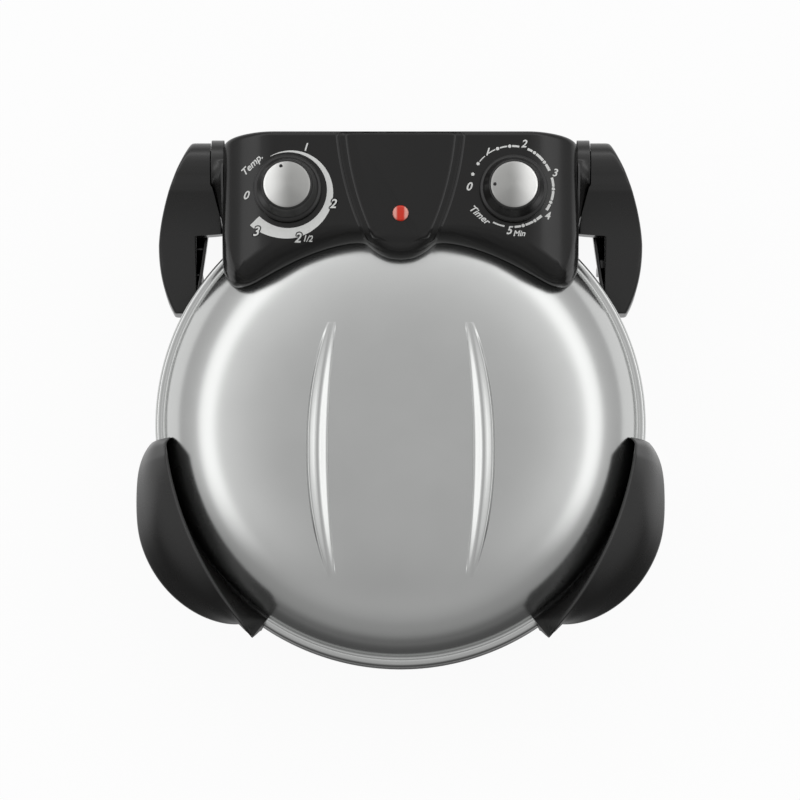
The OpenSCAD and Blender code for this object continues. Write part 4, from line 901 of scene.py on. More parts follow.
def arm_lines(y):
    """Inner and outer faces, underside and top of the right arm at places along the object.

    The inner face keeps clear of the bowl in front and steps in to the housing's side at 136; the top is a curve,
    a short ramp and the circle about the hinge.
    """
    out_line = np.concatenate([
        curve((ARM_FRONT, HUB_X + 27.6), (102, HUB_X + 38.2), (126, HUB_X + 38.6), 16),
        curve((130, HUB_X + 38.6), (156, HUB_X + 37.0), (186.5, HUB_X + 21), 20), [[HINGE_Y + 16, HUB_X + 14]]])
    outer = np.interp(y, out_line[:, 0], out_line[:, 1])
    strip = np.maximum(HUB_X + STRIP_X, np.sqrt(np.clip((RIM_R + 1.7) ** 2 - y ** 2, 0, None)))
    inner = strip + (HOUSING_X + 0.8 - strip) * smoothstep(135.4, 137.2, y)
    rise = np.concatenate([[[ARM_FRONT, 78]], curve((114.5, 90), (140.5, 98), (ARM_ROOF[0], 119), 16)])
    circle = HINGE_Z + np.sqrt(np.clip(ARM_TOP_R ** 2 - (y - HINGE_Y) ** 2, 0, None))
    ramp_up = np.interp(y, [ARM_ROOF[0], 169, ARM_ROOF[1]], [119, 121.8, 124.6])
    top = np.where(y < ARM_ROOF[1], ramp_up, circle)
    top = np.where(y < ARM_ROOF[0], np.interp(y, rise[:, 0], rise[:, 1]), top)
    low = np.interp(y, [ARM_FRONT, 111, 159.5, 161.2, 190, 193, 199.8, ARM_BACK], [60, 38, 27, 3, 3, 78, 107, 111])
    return inner, outer, low, top


def pocket(reach):
    """Depth of the arm's inner face round the hinge axis, so that the hub and its foot turn clear of it."""
    return np.interp(reach, [0, 18.9, 19.0, 23.8, 33.8, 45.8, 47],
                     np.array([0.8, 0.8, -0.3, -2.3, -5.1, -7.3, -7.5]) + HUB_X, right=0)


def end_inset(y, radius):
    """How far the faces of a bar draw in near its two ends, so that the ends are rounded by that radius."""
    near = np.minimum(y - y[0], y[-1] - y)
    return radius - np.sqrt(np.clip(radius ** 2 - np.clip(radius - near, 0, None) ** 2, 0, None))


def along_object(section, y):
    """Grid of points from sections (x, z) that stand at places along the object."""
    return np.stack([section[..., 0], y[:, None] + 0 * section[..., 0], section[..., 1]], axis=-1)


def arm_bar(y, inner, outer, low, top, radius, end_round):
    """A bar along the object: a rounded rectangle between four faces, carried along; its ends are rounded."""
    inset = end_inset(y, end_round)
    inner, outer, low, top = inner + inset, outer - inset, low + inset, top - inset
    section = round_corners(corners((inner, low), (outer, low), (outer, top), (inner, top)), radius, 3, 1)
    return surface("arm", along_object(section, y), False, True, True)


def arm_stations(first, last, step=1.1, fine=2.4):
    """Places along an arm, closer together near both ends and at the step."""
    ends = fine * (1 - np.cos(np.linspace(0, np.pi / 2, 7)))
    body = np.arange(first + fine + step, last - fine, step)
    extra = np.linspace(134.6, 138.0, 14)
    extra = extra[(extra > first + fine) & (extra < last - fine)]
    return np.unique(np.concatenate([first + ends, body, extra, (last - ends)[::-1]]))


def hinge_arm(ribs):
    """Right hinge arm: a rounded bar from its front tip back over the hinge to its foot, dished for the hub.

    Beside the front strip stand a lower wall, a trough floor and cross ribs.
    """
    y = arm_stations(ARM_FRONT, ARM_BACK)
    inner, outer, low, top = arm_lines(y)
    strip = np.maximum(inner, np.where(y < 150, HUB_X + STRIP_X, inner))
    shelf = np.where(y < 150, top - 9, low + 1)
    inset = end_inset(y, 1.0)
    section = round_corners(corners((inner + inset, shelf), (strip + inset, shelf), (strip + inset, low + inset),
                                    (outer - inset, low + inset), (outer - inset, top - inset),
                                    (inner + inset, top - inset)), [1.2, 0.6, 1.6, 3.0, 3.6, 1.6], 7, 20)
    points = along_object(section, y)
    reach = np.hypot(points[..., 1] - HINGE_Y, points[..., 2] - HINGE_Z)
    points[..., 0] = np.maximum(points[..., 0], pocket(reach))
    pieces = [surface("arm", points, False, True, True, smooth=38)]
    y = arm_stations(*TROUGH_Y, 1.6, 1.0)
    inner, outer, low, top = arm_lines(np.minimum(y, 134))
    edge = np.interp(y, [98, 136, 152], [144, 139, 137])
    wall_top, floor_z = np.minimum(top, TROUGH_TOP), low + 10
    wall = corners((edge + 2.4, floor_z), (edge + 5.0, floor_z), (edge + 2.6, wall_top), (edge, wall_top))
    pieces.append(surface("arm", along_object(round_corners(wall, 0.8, 4, 1), y), False, True, True))
    pieces.append(arm_bar(y, edge + 3, np.maximum(inner + 1.5, edge + 5), floor_z + 0.5, floor_z + 3.0, 0.5, 0.4))
    for at, width in ribs:
        pieces.append(arm_bar(np.linspace(at, at + width, 8), TROUGH_X, HUB_X + 12.5, 45.0, 80.0, 0.3, 0.3))
    return join("arm", pieces)


# ---- handles ----

GRIP_FROM, GRIP_TO = 4.35, 53.0
GRIP_REACH = 30.5
GRIP_SIDE = 189.3
GRIP_RISE = 28.0
LID_GRIP_RADII = [0.3, 0.9, 0.5, 0.9, 14, 1.6, 0.6, 0.6, 0.8, 8, 4, 0.4, 0.4, 0.4]
BASE_GRIP_RADII = [0.3, 0.9, 0.9, 0.9, 0.5, 0.5, 0.4, 0.6, 2.0, 1.2, 0.4, 0.3]


def handle_shares(a):
    """Reach of a handle at angle a (degrees from the side to the front): a hump that falls away to both ends."""
    v = np.clip((a - GRIP_FROM) / (GRIP_TO - GRIP_FROM), 0, 1)
    return 0.995 * np.hypot(0.1, np.sin(np.pi * v ** 1.15) ** (0.53 + 0.07 * smoothstep(0.25, 0.6, v)))


def fallen(high, low, share):
    """Height between high and low by that share."""
    return high + (low - high) * share


def lid_handle_sections(a):
    """Corners of the lid handle's section at each angle: crest on the ring, outside flank, lower lip, hollow.

    The outer edge e follows handle_shares, held within GRIP_SIDE by a smooth minimum; the crest c, h moves out and
    drops towards the front; shut closes the hollow at both ends.
    """
    reach = handle_shares(a)
    reach = np.where(a > 40, np.maximum(0.27, reach), reach)
    e = RIM_R + GRIP_REACH * reach - 5 * np.clip((a - 53.9) / 2.4, 0, 1) ** 2
    e = (e ** -100 + (GRIP_SIDE / np.cos(np.radians(a))) ** -100) ** -0.01
    c = DOME_R - 5 * np.clip((6.4 - a) / 2.2, 0, 1) ** 1.5 + 20.4 * (np.clip(a - 8.4, 0, None) / 49) ** 2.1
    rise = GRIP_RISE * np.clip(0.2 + (a - 4.4) / 6.5, 0.2, 1) ** 0.5
    h = RING_Z + rise - 10 * np.clip((a - 52.3) / 3.4, 0, 1) ** 2
    low, mount, foot = RING_Z - 8, RIM_R + FIT, DOME_R + 0.6
    w = np.minimum(3.0, 0.3 * (e - mount))
    roof = RING_Z + (h - RING_Z) * 0.55
    shut = np.clip(np.maximum((5.9 - a) / 0.5, (a - 55.8) / 0.3), 0, 1)
    back = np.maximum(c - 1.2, foot - 12 * (h - RING_Z) / GRIP_RISE + 1)
    hollow = np.maximum(np.minimum((c + e) / 2 - w + 2.5, e - w - 0.2), mount + w + 0.3)
    return corners((foot + 0 * a, RING_Z + FIT), (back, h - 1.2), (c - 0.2, h), (c + 1, h - 0.6),
                   ((c + e) / 2 + 2.5, (h + low) / 2 + 3), (e, low + 1), (e, low - 3), (e - 0.47 * w, low - 3.6),
                   (e - w, low - 3.4 * shut),
                   (hollow, fallen(np.minimum(roof, (h + low) / 2 + 0.5), low - 3.2, shut)),
                   (mount + w, fallen(np.minimum(roof - 3, RING_Z + 5), low - 2.6, shut)), (mount + w, LID_Z + 2),
                   (mount + 0 * a, LID_Z + 2), (mount + 0 * a, RING_Z + FIT))


def base_handle_sections(a):
    """Corners of the base handle's section at each angle: a flat top, a lip that turns down, a mounting flange."""
    e = RIM_R + np.maximum(6.0, 19.5 * handle_shares(a - 0.25))
    w, top, mount = 3.0, SEAM_Z - 1, RIM_R + FIT + 0 * a
    low = top - 16
    return corners((mount, top), (e - 3, top), (e - 0.8, top - 0.9), (e, top - 3), (e - 1, low + 1), (e - 2, low),
                   (e - w + 0.5, low), (e - w + 0.2, low + 2), (e - w + 0.2, top - w), (mount + w, top - w),
                   (mount + w, low + 4), (mount, low + 4))


def handle(name, sections, radii, angles):
    """A handle: its section carried round the bowl's axis from the side to the front, left side."""
    section = round_corners(sections(angles), radii, 5, 1)
    turn = np.radians(angles)[:, None]
    points = np.stack([-section[..., 0] * np.cos(turn), -section[..., 0] * np.sin(turn), section[..., 1]], axis=-1)
    return surface(name, points, False, True, True, smooth=40)


# ---- knobs, lens and prints ----

GRIP_H = 15.5
DISC_FACE_R = 15.3
DISC_DOME = 1.8
POINTER_R = 13.6


def knob_skin(name, x):
    """Knob, turned: a flat foot flange, a step and a tapering grip."""
    foot, top = PANEL_Z + 0.4, PANEL_Z + GRIP_H
    outline = open_corners([(3.5, foot), (23.8, foot), (24.4, foot + 1.0), (24.2, foot + 3.4), (22.7, foot + 4.2),
                            (21.7, foot + 4.6), (18.7, top - 3.2), (17.9, top), (15.0, top), (3.5, top - 2)],
                           [0, 0.5, 0.8, 0.9, 0.7, 1.2, 1.5, 1.0, 0.3, 0], 6)
    return turned(name, outline, 144, (x, DIAL_Y), closed=True)


def cap_skin(name, x):
    """Metal cap let into the knob, turned: a spun face domed as the square of the radius, with a rounded rim."""
    foot, top = PANEL_Z + GRIP_H - 0.1, PANEL_Z + KNOB_H
    reach = np.linspace(0, DISC_FACE_R, 24)
    face = np.stack([reach, top - 0.05 - DISC_DOME * (reach / DISC_FACE_R) ** 2], axis=1)
    rim = open_corners([(DISC_FACE_R, top - 1.85), (15.5, top - 1.9), (16.5, top - 2.35), (16.5, foot), (0, foot)],
                       [0, 0.1, 0.15, 0.3, 0], 5)
    return turned(name, np.concatenate([face, rim[1:]]), 128, (x, DIAL_Y))


def lens_skin():
    """Pilot lens: a low rounded button, turned."""
    outline = open_corners([(0, 4.2), (4.6, 4.15), (5.6, 3.3), (5.6, 0.5), (0, 0.5)], [0, 1.6, 0.8, 0.3, 0], 6)
    return turned("lens_button", outline + (0, PANEL_Z), 64, (0, LENS_Y))


def pointer(name, x, turn):
    """Pointer on a cap: a small dark countersunk dot, turn in degrees anticlockwise from the back."""
    a = math.radians(90 + turn)
    centre = (x + POINTER_R * math.cos(a), DIAL_Y + POINTER_R * math.sin(a))
    top = PANEL_Z + KNOB_H - 1.4
    return turned(name, [(0, top + 0.2), (1.0, top + 0.2), (1.25, top + 0.12), (1.25, top - 0.3), (0, top - 0.3)],
                  24, centre)


def on_panel(flat, lift):
    """Lays flat points (x, y) on the panel's face, also where it rolls down, raised by lift."""
    x, y = np.moveaxis(np.asarray(flat, float), -1, 0)
    return np.stack([x, y, panel_top(x) - edge_fall(x, y) + lift], axis=-1)


def arc_band(name, centre, turns, inner, outer, lift=0.1):
    """A printed band round a dial: turns are degrees clockwise from the back; inner and outer may vary."""
    turns = np.radians(np.asarray(turns, float))
    inner = np.broadcast_to(inner, turns.shape)
    outer = np.broadcast_to(outer, turns.shape)
    radius = inner[:, None] + (outer - inner)[:, None] * np.linspace(0, 1, 5)
    flat = np.stack([centre[0] + radius * np.sin(turns)[:, None], centre[1] + radius * np.cos(turns)[:, None]], -1)
    return surface(name, on_panel(flat, lift))


def dot(name, centre, radius, lift=0.1):
    """A printed dot: rings about its middle."""
    turn = np.linspace(0, 2 * np.pi, 20, endpoint=False)
    ring = np.array([0, 0.5, 1])[:, None] * radius
    flat = np.stack([centre[0] + ring * np.cos(turn), centre[1] + ring * np.sin(turn)], -1)
    return surface(name, on_panel(flat, lift), False, True)


def lettering(name, words, centre, height, turn=0.0, lift=0.12):
    """Printed slanting words on the panel: centre in millimetres, turn in degrees anticlockwise.

    The letters' flat mesh is cut finer, scaled by height over the face's capital height, turned and laid down.
    """
    text = bpy.data.curves.new(name, "FONT")
    text.body = words
    text.size = 1.0
    text.offset = 0.02
    text.align_x = "CENTER"
    text.align_y = "CENTER"
    text.resolution_u = 3
    text.shear = 0.3
    holder = link_object(name, text)
    bpy.context.view_layer.update()
    flat_mesh = bpy.data.meshes.new_from_object(holder.evaluated_get(bpy.context.evaluated_depsgraph_get()))
    bpy.data.objects.remove(holder)
    finer = bmesh.new()
    finer.from_mesh(flat_mesh)
    bmesh.ops.subdivide_edges(finer, edges=[edge for edge in finer.edges if edge.calc_length() > 0.15], cuts=3)
    bmesh.ops.triangulate(finer, faces=finer.faces[:])
    finer.to_mesh(flat_mesh)
    finer.free()
    xy = np.empty(len(flat_mesh.vertices) * 3)
    flat_mesh.vertices.foreach_get("co", xy)
    xy = xy.reshape(-1, 3)[:, :2] * height / CAPITAL_H
    c, s = math.cos(math.radians(turn)), math.sin(math.radians(turn))
    flat = xy @ np.array([[c, s], [-s, c]]) + centre
    faces = [list(face.vertices) for face in flat_mesh.polygons]
    bpy.data.meshes.remove(flat_mesh)
    return make_object(name, on_panel(flat, lift), faces)


# the view of the prints' places: sine and cosine of its tilt of 9.5 degrees, its middle's count and height, and the
# size of its steps in millimetres, which is less across the panel because the panel stands higher
TILT_SIN, TILT_COS = 0.165, 0.986
MIDDLE_ACROSS, MIDDLE_DOWN = 400.6, 420.3
MIDDLE_Z = 101.0
VIEW_STEP, PANEL_STEP = 0.7128, 0.7093


def panel_place(across, down):
    """Panel place in millimetres of a spot counted in steps of that view."""
    back = (MIDDLE_DOWN - down) * VIEW_STEP - (PANEL_Z - MIDDLE_Z) * TILT_SIN
    return np.array([(across - MIDDLE_ACROSS) * PANEL_STEP, back / TILT_COS])


CAPITAL_H = 0.7
TEMP_RING = 27.4
TIMER_RING = 29.2
DOT_R = 1.2
HALO = 0.85
HALO_LIFT, FIGURE_LIFT = 0.2, 0.32
# words, place and height; the figures over the crescent also have a black halo
OVER_FIGURES = (("2", (333, 204.3), 6.4), ("2", (298, 237.7), 6.2), ("3", (256.3, 231), 6.4))
TEMP_FIGURES = (("0", (246, 194), 5.8), ("1", (305.5, 147.5), 5.4), ("1/2", (307.8, 238), 3.8))
# words, place, height and turn
TIMER_FIGURES = (("0", (468.3, 187), 5.8, 0), ("1", (486.8, 152.2), 5.4, 0), ("2", (523.5, 144.2), 5.4, 0),
                 ("3", (554.4, 171.2), 5.4, 0), ("4", (546.5, 215), 5.4, 0), ("5", (508.4, 230.6), 5.6, 0),
                 ("Min", (518.4, 233.6), 4.0, 0), ("Timer", (478.9, 214.8), 4.8, -42))
TIMER_DOTS = (-72.3, -55.7, -20.6, -3.4, 32.8, 51.6, 91.0, 110.8, 147.1, 164.9)
# first and last degree and width
TIMER_DASHES = ((-52, -41, 0.7), (-35, -24, 0.8), (-17, -7, 1.1), (0, 10, 1.4), (22, 29.5, 1.7), (36, 48.5, 2.0),
                (55, 65, 2.0), (75, 88, 1.8), (94, 107.5, 1.8), (114, 124, 1.9), (135, 144, 1.9), (150, 161.5, 1.6),
                (168, 177, 1.5), (191, 208, 1.1))


def temp_print(ink):
    """Print round the temperature dial: in white the crescent that grows clockwise, with its figures.

    In black it is the halos of the figures that stand over it, each laid down eight times round its place.
    """
    name = "temp_print"
    pieces = []
    if ink == "white":
        turns = np.linspace(-27.6, 228, 90)
        width = np.linspace(0.25, 9.0, 90)
        pieces.append(arc_band(name, (-DIAL_X + 0.6, DIAL_Y - 0.9), turns, TEMP_RING, TEMP_RING + width, 0.12))
        pieces.append(lettering(name, "Temp.", panel_place(252, 163.8), 5.0, 42, lift=0.2))
        for words, at, height in OVER_FIGURES + TEMP_FIGURES:
            pieces.append(lettering(name, words, panel_place(*at), height, lift=FIGURE_LIFT))
    else:
        for turn in np.arange(8) * math.pi / 4:
            shift = HALO * np.array((math.cos(turn), math.sin(turn)))
            for words, at, height in OVER_FIGURES:
                pieces.append(lettering(name, words, panel_place(*at) + shift, height, lift=HALO_LIFT))
    return join(f"temp_print_{ink}", pieces)


def timer_print():
    """White print round the timer dial: dashes that thicken clockwise between dots, with the minutes."""
    name = "timer_print"
    centre = panel_place(511.9, 186.6)
    pieces = []
    for turn in np.radians(TIMER_DOTS):
        pieces.append(dot(name, centre + TIMER_RING * np.array((math.sin(turn), math.cos(turn))), DOT_R))
    for first, last, width in TIMER_DASHES:
        turns = np.linspace(first, last, 10)
        pieces.append(arc_band(name, centre, turns, TIMER_RING - width / 2, TIMER_RING + width / 2))
    for words, at, height, turn in TIMER_FIGURES:
        pieces.append(lettering(name, words, panel_place(*at), height, turn))
    return join(name, pieces)


# ---- carried-over nodes ----


WELD = 2e-5


def soft_copy(node, width):
    """A node's own form, merged and shaded smooth between its edges; a live Bevel rounds those edges by width."""
    work = bmesh.new()
    work.from_mesh(frame["nodes"][node].data)
    bmesh.ops.remove_doubles(work, verts=work.verts, dist=WELD)
    bmesh.ops.dissolve_degenerate(work, edges=work.edges, dist=1e-6)
    if width:
        bmesh.ops.dissolve_limit(work, angle_limit=math.radians(1.0), verts=work.verts, edges=work.edges)
    mesh = bpy.data.meshes.new(node + "_finish")
    work.to_mesh(mesh)
    work.free()
    shade(mesh, 32.0)
    copy = link_object(node + "_finish", mesh)
    if width:
        bevel = copy.modifiers.new("edge_rounding", "BEVEL")
        bevel.width = width * MM
        bevel.segments = 2
        bevel.limit_method = "ANGLE"
        bevel.angle_limit = math.radians(35.0)
        bevel.harden_normals = True
    return copy


# ---- stage: floor, world and camera ----

FLOOR_HALF = 6.0
FLOOR_DROP = 0.0005
FLOOR_GLOW = 0.93
# how the mirrored floor glows along Y in metres, with painted shade that keeps it dark in front of the object:
# first and last place, first and last level
NEAR_GLOW = (-0.24, -0.04, 0.06, 1.0)
FAR_GLOW = (-0.35, -1.2, 0.0, 0.1)
TENT_STOPS = ((0.0, 0.28), (0.2, 0.31), (0.38, 0.34), (0.46, 0.33), (0.54, 0.40), (0.72, 0.47), (0.80, 0.46),
              (0.87, 0.43), (0.95, 0.345), (0.985, 0.298), (1.0, 0.298))
BAND_STOPS = ((0.45, 0.0), (0.50, 0.45), (0.68, 0.45), (0.72, 0.0))
STAGE_GAIN = 2.0
# where tent and band die out, by the Y or Z of a direction: first and last place, and levels where not 0 and 1
TENT_FRONT = (-0.55, -0.05, 0.6, 1.0)
BAND_FRONT = (-0.55, -0.1)
LOW_FRONT_Y, LOW_FRONT_Z = (-0.2, -0.6), (0.26, 0.0)
LOW_FRONT_CUT = 0.5
CAMERA_WAY = (0.0, -TILT_SIN, TILT_COS)
CAMERA_UP = (0.0, TILT_COS, TILT_SIN)
CAMERA_FAR = 3.3
CAMERA_AIM = (-0.4, MIDDLE_Z, 15.7)
SENSOR = 36.0
VIEW_WIDTH = 0.57024


def seen_directly(tree):
    """The ray kinds of a stage shader: 1 for camera and transmission rays, and the light path node itself."""
    path = add_node(tree, "ShaderNodeLightPath")
    return calculate(tree, "MAXIMUM", path.outputs["Is Camera Ray"], path.outputs["Is Transmission Ray"]), path


def make_floor():
    """White floor: seen by the camera it is nearly all its own white, and it keeps a faint shadow.

    In mirror images it glows too, but painted shade keeps it dark just in front of the object.
    """
    corners = [(x, y, -FLOOR_DROP) for x, y in ((-FLOOR_HALF, -FLOOR_HALF), (FLOOR_HALF, -FLOOR_HALF),
                                                (FLOOR_HALF, FLOOR_HALF), (-FLOOR_HALF, FLOOR_HALF))]
    mesh = bpy.data.meshes.new("floor")
    mesh.from_pydata(corners, [], [(0, 1, 2, 3)])
    floor = link_object("floor", mesh)
    material = bpy.data.materials.new("painted_floor")
    material.use_nodes = True
    tree = material.node_tree
    tree.nodes.clear()
    paint = add_node(tree, "ShaderNodeBsdfDiffuse", {"Color": (*look().floor_colour, 1.0)})
    glow = add_node(tree, "ShaderNodeEmission", {"Color": WHITE, "Strength": 1.0})
    along = axis_of(tree, add_node(tree, "ShaderNodeTexCoord").outputs["Object"], "Y")
    # painted shade: in mirror images the floor glows little just in front of the object
    mirrored_glow = calculate(tree, "ADD", ease(tree, along, *NEAR_GLOW), ease(tree, along, *FAR_GLOW))
    seen, path = seen_directly(tree)
    glossy = path.outputs["Is Glossy Ray"]
    tree.links.new(calculate(tree, "MAXIMUM", seen, calculate(tree, "MULTIPLY", glossy, mirrored_glow)),
                   glow.inputs["Strength"])
    share = calculate(tree, "MULTIPLY", calculate(tree, "MAXIMUM", seen, glossy), FLOOR_GLOW)
    mix = add_node(tree, "ShaderNodeMixShader", {0: share, 1: paint.outputs[0], 2: glow.outputs[0]})
    add_node(tree, "ShaderNodeOutputMaterial", {"Surface": mix.outputs[0]})
    mesh.materials.append(material)


def ramp(tree, value, stops):
    """Grey level that follows a row of (place, level) stops, first and last included."""
    node = add_node(tree, "ShaderNodeValToRGB", {"Fac": value})
    points = node.color_ramp.elements
    for point, (at, level) in ((points[0], stops[0]), (points[1], stops[-1])):
        point.position = at
        point.color = (level, level, level, 1.0)
    for at, level in stops[1:-1]:
        points.new(at).color = (level, level, level, 1.0)
    return node.outputs["Color"]


def make_world():
    """Soft grey tent round the object, with a bright band of light 44 to 63 degrees off the upright.

    The band runs round the sides and the back and dies out in front, where the tent is darker, most of all low
    down. Seen directly or through glass the world is white.
    """
    world = bpy.data.worlds.new("studio_tent")
    bpy.context.scene.world = world
    world.use_nodes = True
    tree = world.node_tree
    tree.nodes.clear()
    way = add_node(tree, "ShaderNodeTexCoord").outputs["Generated"]
    along, up = axis_of(tree, way, "Y"), axis_of(tree, way, "Z")
    low_front = calculate(tree, "MULTIPLY", ease(tree, along, *LOW_FRONT_Y), ease(tree, up, *LOW_FRONT_Z))
    front = calculate(tree, "MULTIPLY", ease(tree, along, *TENT_FRONT),
                      calculate(tree, "SUBTRACT", 1.0, calculate(tree, "MULTIPLY", low_front, LOW_FRONT_CUT)))
    light = []
    for stops, share, level in ((TENT_STOPS, front, look().tent_level),
                                (BAND_STOPS, ease(tree, along, *BAND_FRONT), look().band_level)):
        shared = calculate(tree, "MULTIPLY", ramp(tree, up, stops), share)
        light.append(calculate(tree, "MULTIPLY", shared, STAGE_GAIN * level))
    soft = add_node(tree, "ShaderNodeBackground", {"Color": WHITE, "Strength": calculate(tree, "ADD", *light)})
    white = add_node(tree, "ShaderNodeBackground", {"Color": WHITE, "Strength": 1.0})
    seen, _ = seen_directly(tree)
    mix = add_node(tree, "ShaderNodeMixShader", {0: seen, 1: soft.outputs[0], 2: white.outputs[0]})
    add_node(tree, "ShaderNodeOutputWorld", {"Surface": mix.outputs[0]})


def make_camera():
    """Camera high over the front, 9.5 degrees off the upright, far away with a long lens."""
    back, up = Vector(CAMERA_WAY).normalized(), Vector(CAMERA_UP).normalized()
    x, z, rise = CAMERA_AIM
    aim = Vector((x, AXIS_Y, z)) * MM + up * rise * MM
    camera = bpy.data.cameras.new("studio_camera")
    camera.sensor_width = SENSOR
    camera.lens = SENSOR * CAMERA_FAR / VIEW_WIDTH
    camera.clip_start, camera.clip_end = 0.1, 20.0
    holder = link_object("studio_camera", camera)
    turn = Matrix((up.cross(back), up, back)).transposed()
    holder.matrix_world = Matrix.Translation(aim + back * CAMERA_FAR) @ turn.to_4x4()
    bpy.context.scene.camera = holder


# ---- add-on: sizes, colours, operators and panel ----


def factor(name, description, low=0.0, high=2.0):
    """A user's multiplier, 1 by default."""
    return bpy.props.FloatProperty(name=name, description=description, default=1.0, min=low, soft_max=high,
                                   subtype="FACTOR")


class PizzaMakerLook(bpy.types.PropertyGroup):
    """Colours and sizes that a user may change."""

    edge_rounding: factor("Edge rounding", "Rounding of small parts' edges, as a factor of each part's own", 0.1)
    floor_colour: bpy.props.FloatVectorProperty(name="Floor", description="Colour of the floor", subtype="COLOR",
                                                size=3, default=(0.9, 0.9, 0.9), min=0.0, max=1.0)
    tent_level: factor("Tent", "Brightness of the grey tent, as a factor")
    band_level: factor("Light band", "Brightness of the band of light round the sides, as a factor")


def look():
    """The scene's own settings for this object."""
    return bpy.context.scene.pizza_maker_look


class PIZZA_OT_sheet_metal(bpy.types.Operator):
    """Pressed sheet: lid cover, base bowl, liner and reflector"""

    bl_idname = "pizza.sheet_metal"
    bl_label = "Sheet metal"

    def execute(self, context):
        place(lid_cover(), "lid", "satin_steel", "steel", "lid_shell")
        place(rib_pair(), "lid", "satin_steel", "steel")
        place(bowl_skin(), "base", "satin_steel", "steel", "base_bowl")
        place(liner_skin(), "base", "bright_sheet", "bright", "liner_pan")
        place(reflector_skin(), "lid", "bright_sheet", "bright", "lid_reflector")
        return {"FINISHED"}


class PIZZA_OT_baking_bed(bpy.types.Operator):
    """Baking stone and the two heaters"""

    bl_idname = "pizza.baking_bed"
    bl_label = "Stone and heaters"

    def execute(self, context):
        place(baking_disc(), "base", "baking_stone", "stone", "stone_plate")
        for level, body in (("lower", "base"), ("upper", "lid")):
            node = f"{level}_element"
            place(heater(f"{level}_heater", node), body, "element_tube", "element", node)
        return {"FINISHED"}


class PIZZA_OT_control_housing(bpy.types.Operator):
    """Control housing with its hubs, the raised fascia and the lens"""

    bl_idname = "pizza.control_housing"
    bl_label = "Control housing"

    def execute(self, context):
        place(housing_skin(), "lid", "black_plastic", "gloss", "control_housing", "control_panel")
        place(hinge_hubs(), "lid", "black_plastic", "plastic")
        place(fascia_skin(), "lid", "black_plastic", "gloss", "panel_fascia")
        place(lens_skin(), "lid", "pilot_red", "lens", "pilot_lens")
        return {"FINISHED"}


class PIZZA_OT_hinge_arms(bpy.types.Operator):
    """The two hinge arms with their troughs"""

    bl_idname = "pizza.hinge_arms"
    bl_label = "Hinge arms"

    def execute(self, context):
        right = hinge_arm(RIGHT_RIBS)
        right.name = "right_arm"
        place(right, "base", "black_plastic", "plastic", "hinge_arm_right")
        other = hinge_arm(LEFT_RIBS)
        left = mirrored("left_arm", other)
        bpy.data.objects.remove(other)
        place(left, "base", "black_plastic", "plastic", "hinge_arm_left")
        return {"FINISHED"}


class PIZZA_OT_handles(bpy.types.Operator):
    """Lid handles and base handles"""

    bl_idname = "pizza.handles"
    bl_label = "Handles"

    def execute(self, context):
        for body, sections, radii, first, last in (
                ("lid", lid_handle_sections, LID_GRIP_RADII, 4.5, 56.3),
                ("base", base_handle_sections, BASE_GRIP_RADII, 7.0, 53.0)):
            angles = first + (last - first) * np.linspace(0, 1, 121) ** 1.1
            left = handle(f"{body}_grip_left", sections, radii, angles)
            right = mirrored(f"{body}_grip_right", left)
            for piece, side in ((left, "left"), (right, "right")):
                place(piece, body, "black_plastic", "plastic", f"{body}_handle_{side}")
        return {"FINISHED"}


class PIZZA_OT_dials(bpy.types.Operator):
    """Knobs, caps, pointers and the prints round them"""

    bl_idname = "pizza.dials"
    bl_label = "Dials"

    def execute(self, context):
        for name, node, x, turn in (("temp", "thermostat", -DIAL_X, 18), ("timer", "timer", DIAL_X, 90)):
            body = f"{name}_dial"
            place(knob_skin(f"{name}_knob_skin", x), body, "knob_plastic", "knob", f"{node}_knob")
            place(cap_skin(f"{name}_cap_skin", x), body, "knob_metal", f"{name}_disc", f"{node}_cap")
            place(pointer(f"{name}_pointer", x, turn), body, "knob_plastic", "black_ink")
        place(temp_print("black"), "lid", "black_plastic", "black_ink")
        place(temp_print("white"), "lid", "black_plastic", "white_ink")
        place(timer_print(), "lid", "black_plastic", "white_ink")
        return {"FINISHED"}


CARRIED = (
    ("plastic", "black_plastic", ("rear_frame", "rear_frame_cover", "front_foot_left", "front_foot_right",
                                  "cord_gland")),
    ("rubber", "pad_rubber", ("arm_pads", "foot_pads")),
    ("bright", "bright_sheet", ("stone_clips", "lower_element_clips", "upper_element_clips", "heat_shield",
                                "timer_bell")),
    ("cover", "cover_steel", ("bottom_cover",)),
    ("ceramic", "white_ceramic", ("lower_ceramic_bushes", "upper_ceramic_bushes", "terminal_block")),
    ("wool", "mineral_wool", ("base_insulation", "lid_insulation")),
    ("zinc", "screw_steel", ("bottom_cover_screws", "base_handle_screws", "frame_screws", "arm_screws",
                             "foot_screws", "lid_handle_screws", "panel_screws", "hinge_pins", "thermostat_nut",
                             "timer_nut", "thermostat_shaft", "timer_shaft")),
    ("zinc", "timer_case", ("timer",)),
    ("brass", "bush_brass", ("hinge_bushes",)),
    ("copper", "probe_copper", ("thermostat_bulb",)),
    ("wire", "wire_insulation", ("base_wires", "lid_wires")),
    ("glass", "lamp_glass", ("pilot_lamp",)),
    ("body", "thermostat_body", ("thermostat",)),
)
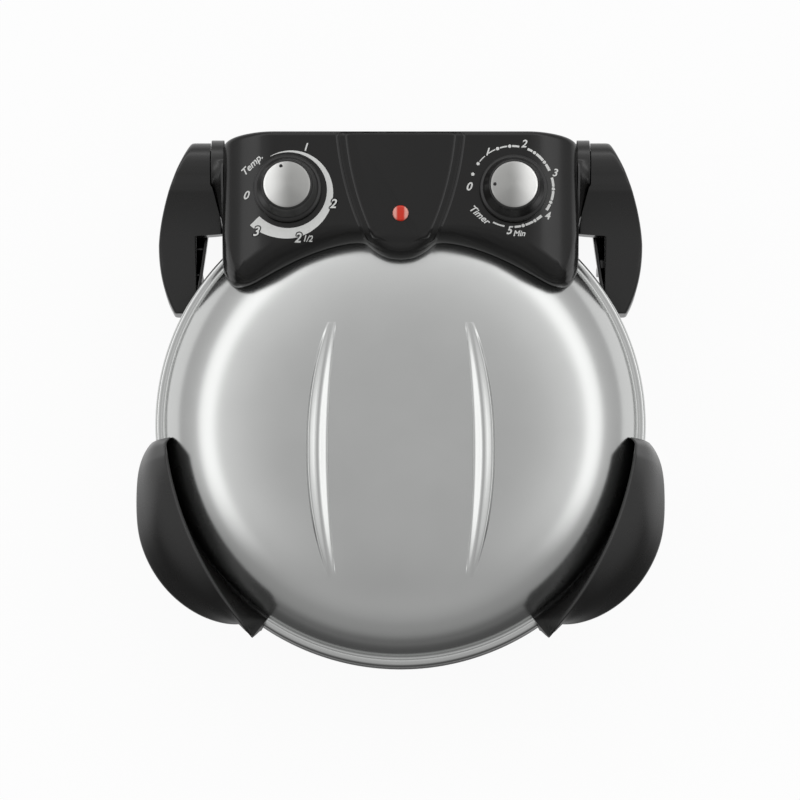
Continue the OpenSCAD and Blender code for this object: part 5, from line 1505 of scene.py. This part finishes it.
ROUNDED = {"rear_frame": 1.2, "rear_frame_cover": 0.5, "front_foot_left": 0.8, "front_foot_right": 0.8,
           "arm_pads": 0.8, "foot_pads": 0.8, "cord_gland": 0.5, "terminal_block": 0.4}


class PIZZA_OT_fittings(bpy.types.Operator):
    """Frame, feet, pads and all small parts in their own finishes"""

    bl_idname = "pizza.fittings"
    bl_label = "Fittings"

    def execute(self, context):
        for material, slot, nodes in CARRIED:
            for node in nodes:
                copy = soft_copy(node, ROUNDED.get(node, 0.0) * look().edge_rounding)
                place(copy, frame["nodes"][node]["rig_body"], slot, material, node)
        return {"FINISHED"}


class PIZZA_OT_stage(bpy.types.Operator):
    """Floor, world and camera"""

    bl_idname = "pizza.stage"
    bl_label = "Stage"

    def execute(self, context):
        make_floor()
        make_world()
        make_camera()
        return {"FINISHED"}


STEPS = (PIZZA_OT_sheet_metal, PIZZA_OT_baking_bed, PIZZA_OT_control_housing, PIZZA_OT_hinge_arms, PIZZA_OT_handles,
         PIZZA_OT_dials, PIZZA_OT_fittings, PIZZA_OT_stage)


class PIZZA_PT_sidebar(bpy.types.Panel):
    """Lists the sizes, colours and steps"""

    bl_idname = "PIZZA_PT_sidebar"
    bl_label = "Pizza maker"
    bl_space_type = "VIEW_3D"
    bl_region_type = "UI"
    bl_category = "Pizza maker"

    def draw(self, context):
        for key in ("edge_rounding", "floor_colour", "tent_level", "band_level"):
            self.layout.prop(context.scene.pizza_maker_look, key)
        for step in STEPS:
            self.layout.operator(step.bl_idname)


CLASSES = (PizzaMakerLook, *STEPS, PIZZA_PT_sidebar)


def register():
    for cls in CLASSES:
        bpy.utils.register_class(cls)
    bpy.types.Scene.pizza_maker_look = bpy.props.PointerProperty(type=PizzaMakerLook)


def unregister():
    del bpy.types.Scene.pizza_maker_look
    for cls in reversed(CLASSES):
        bpy.utils.unregister_class(cls)


def main():
    """Builds everything in order."""
    register()
    bpy.context.scene.view_settings.view_transform = "Standard"
    for step in STEPS:
        group, name = step.bl_idname.split(".")
        getattr(getattr(bpy.ops, group), name)()


if __name__ == "__main__":
    main()
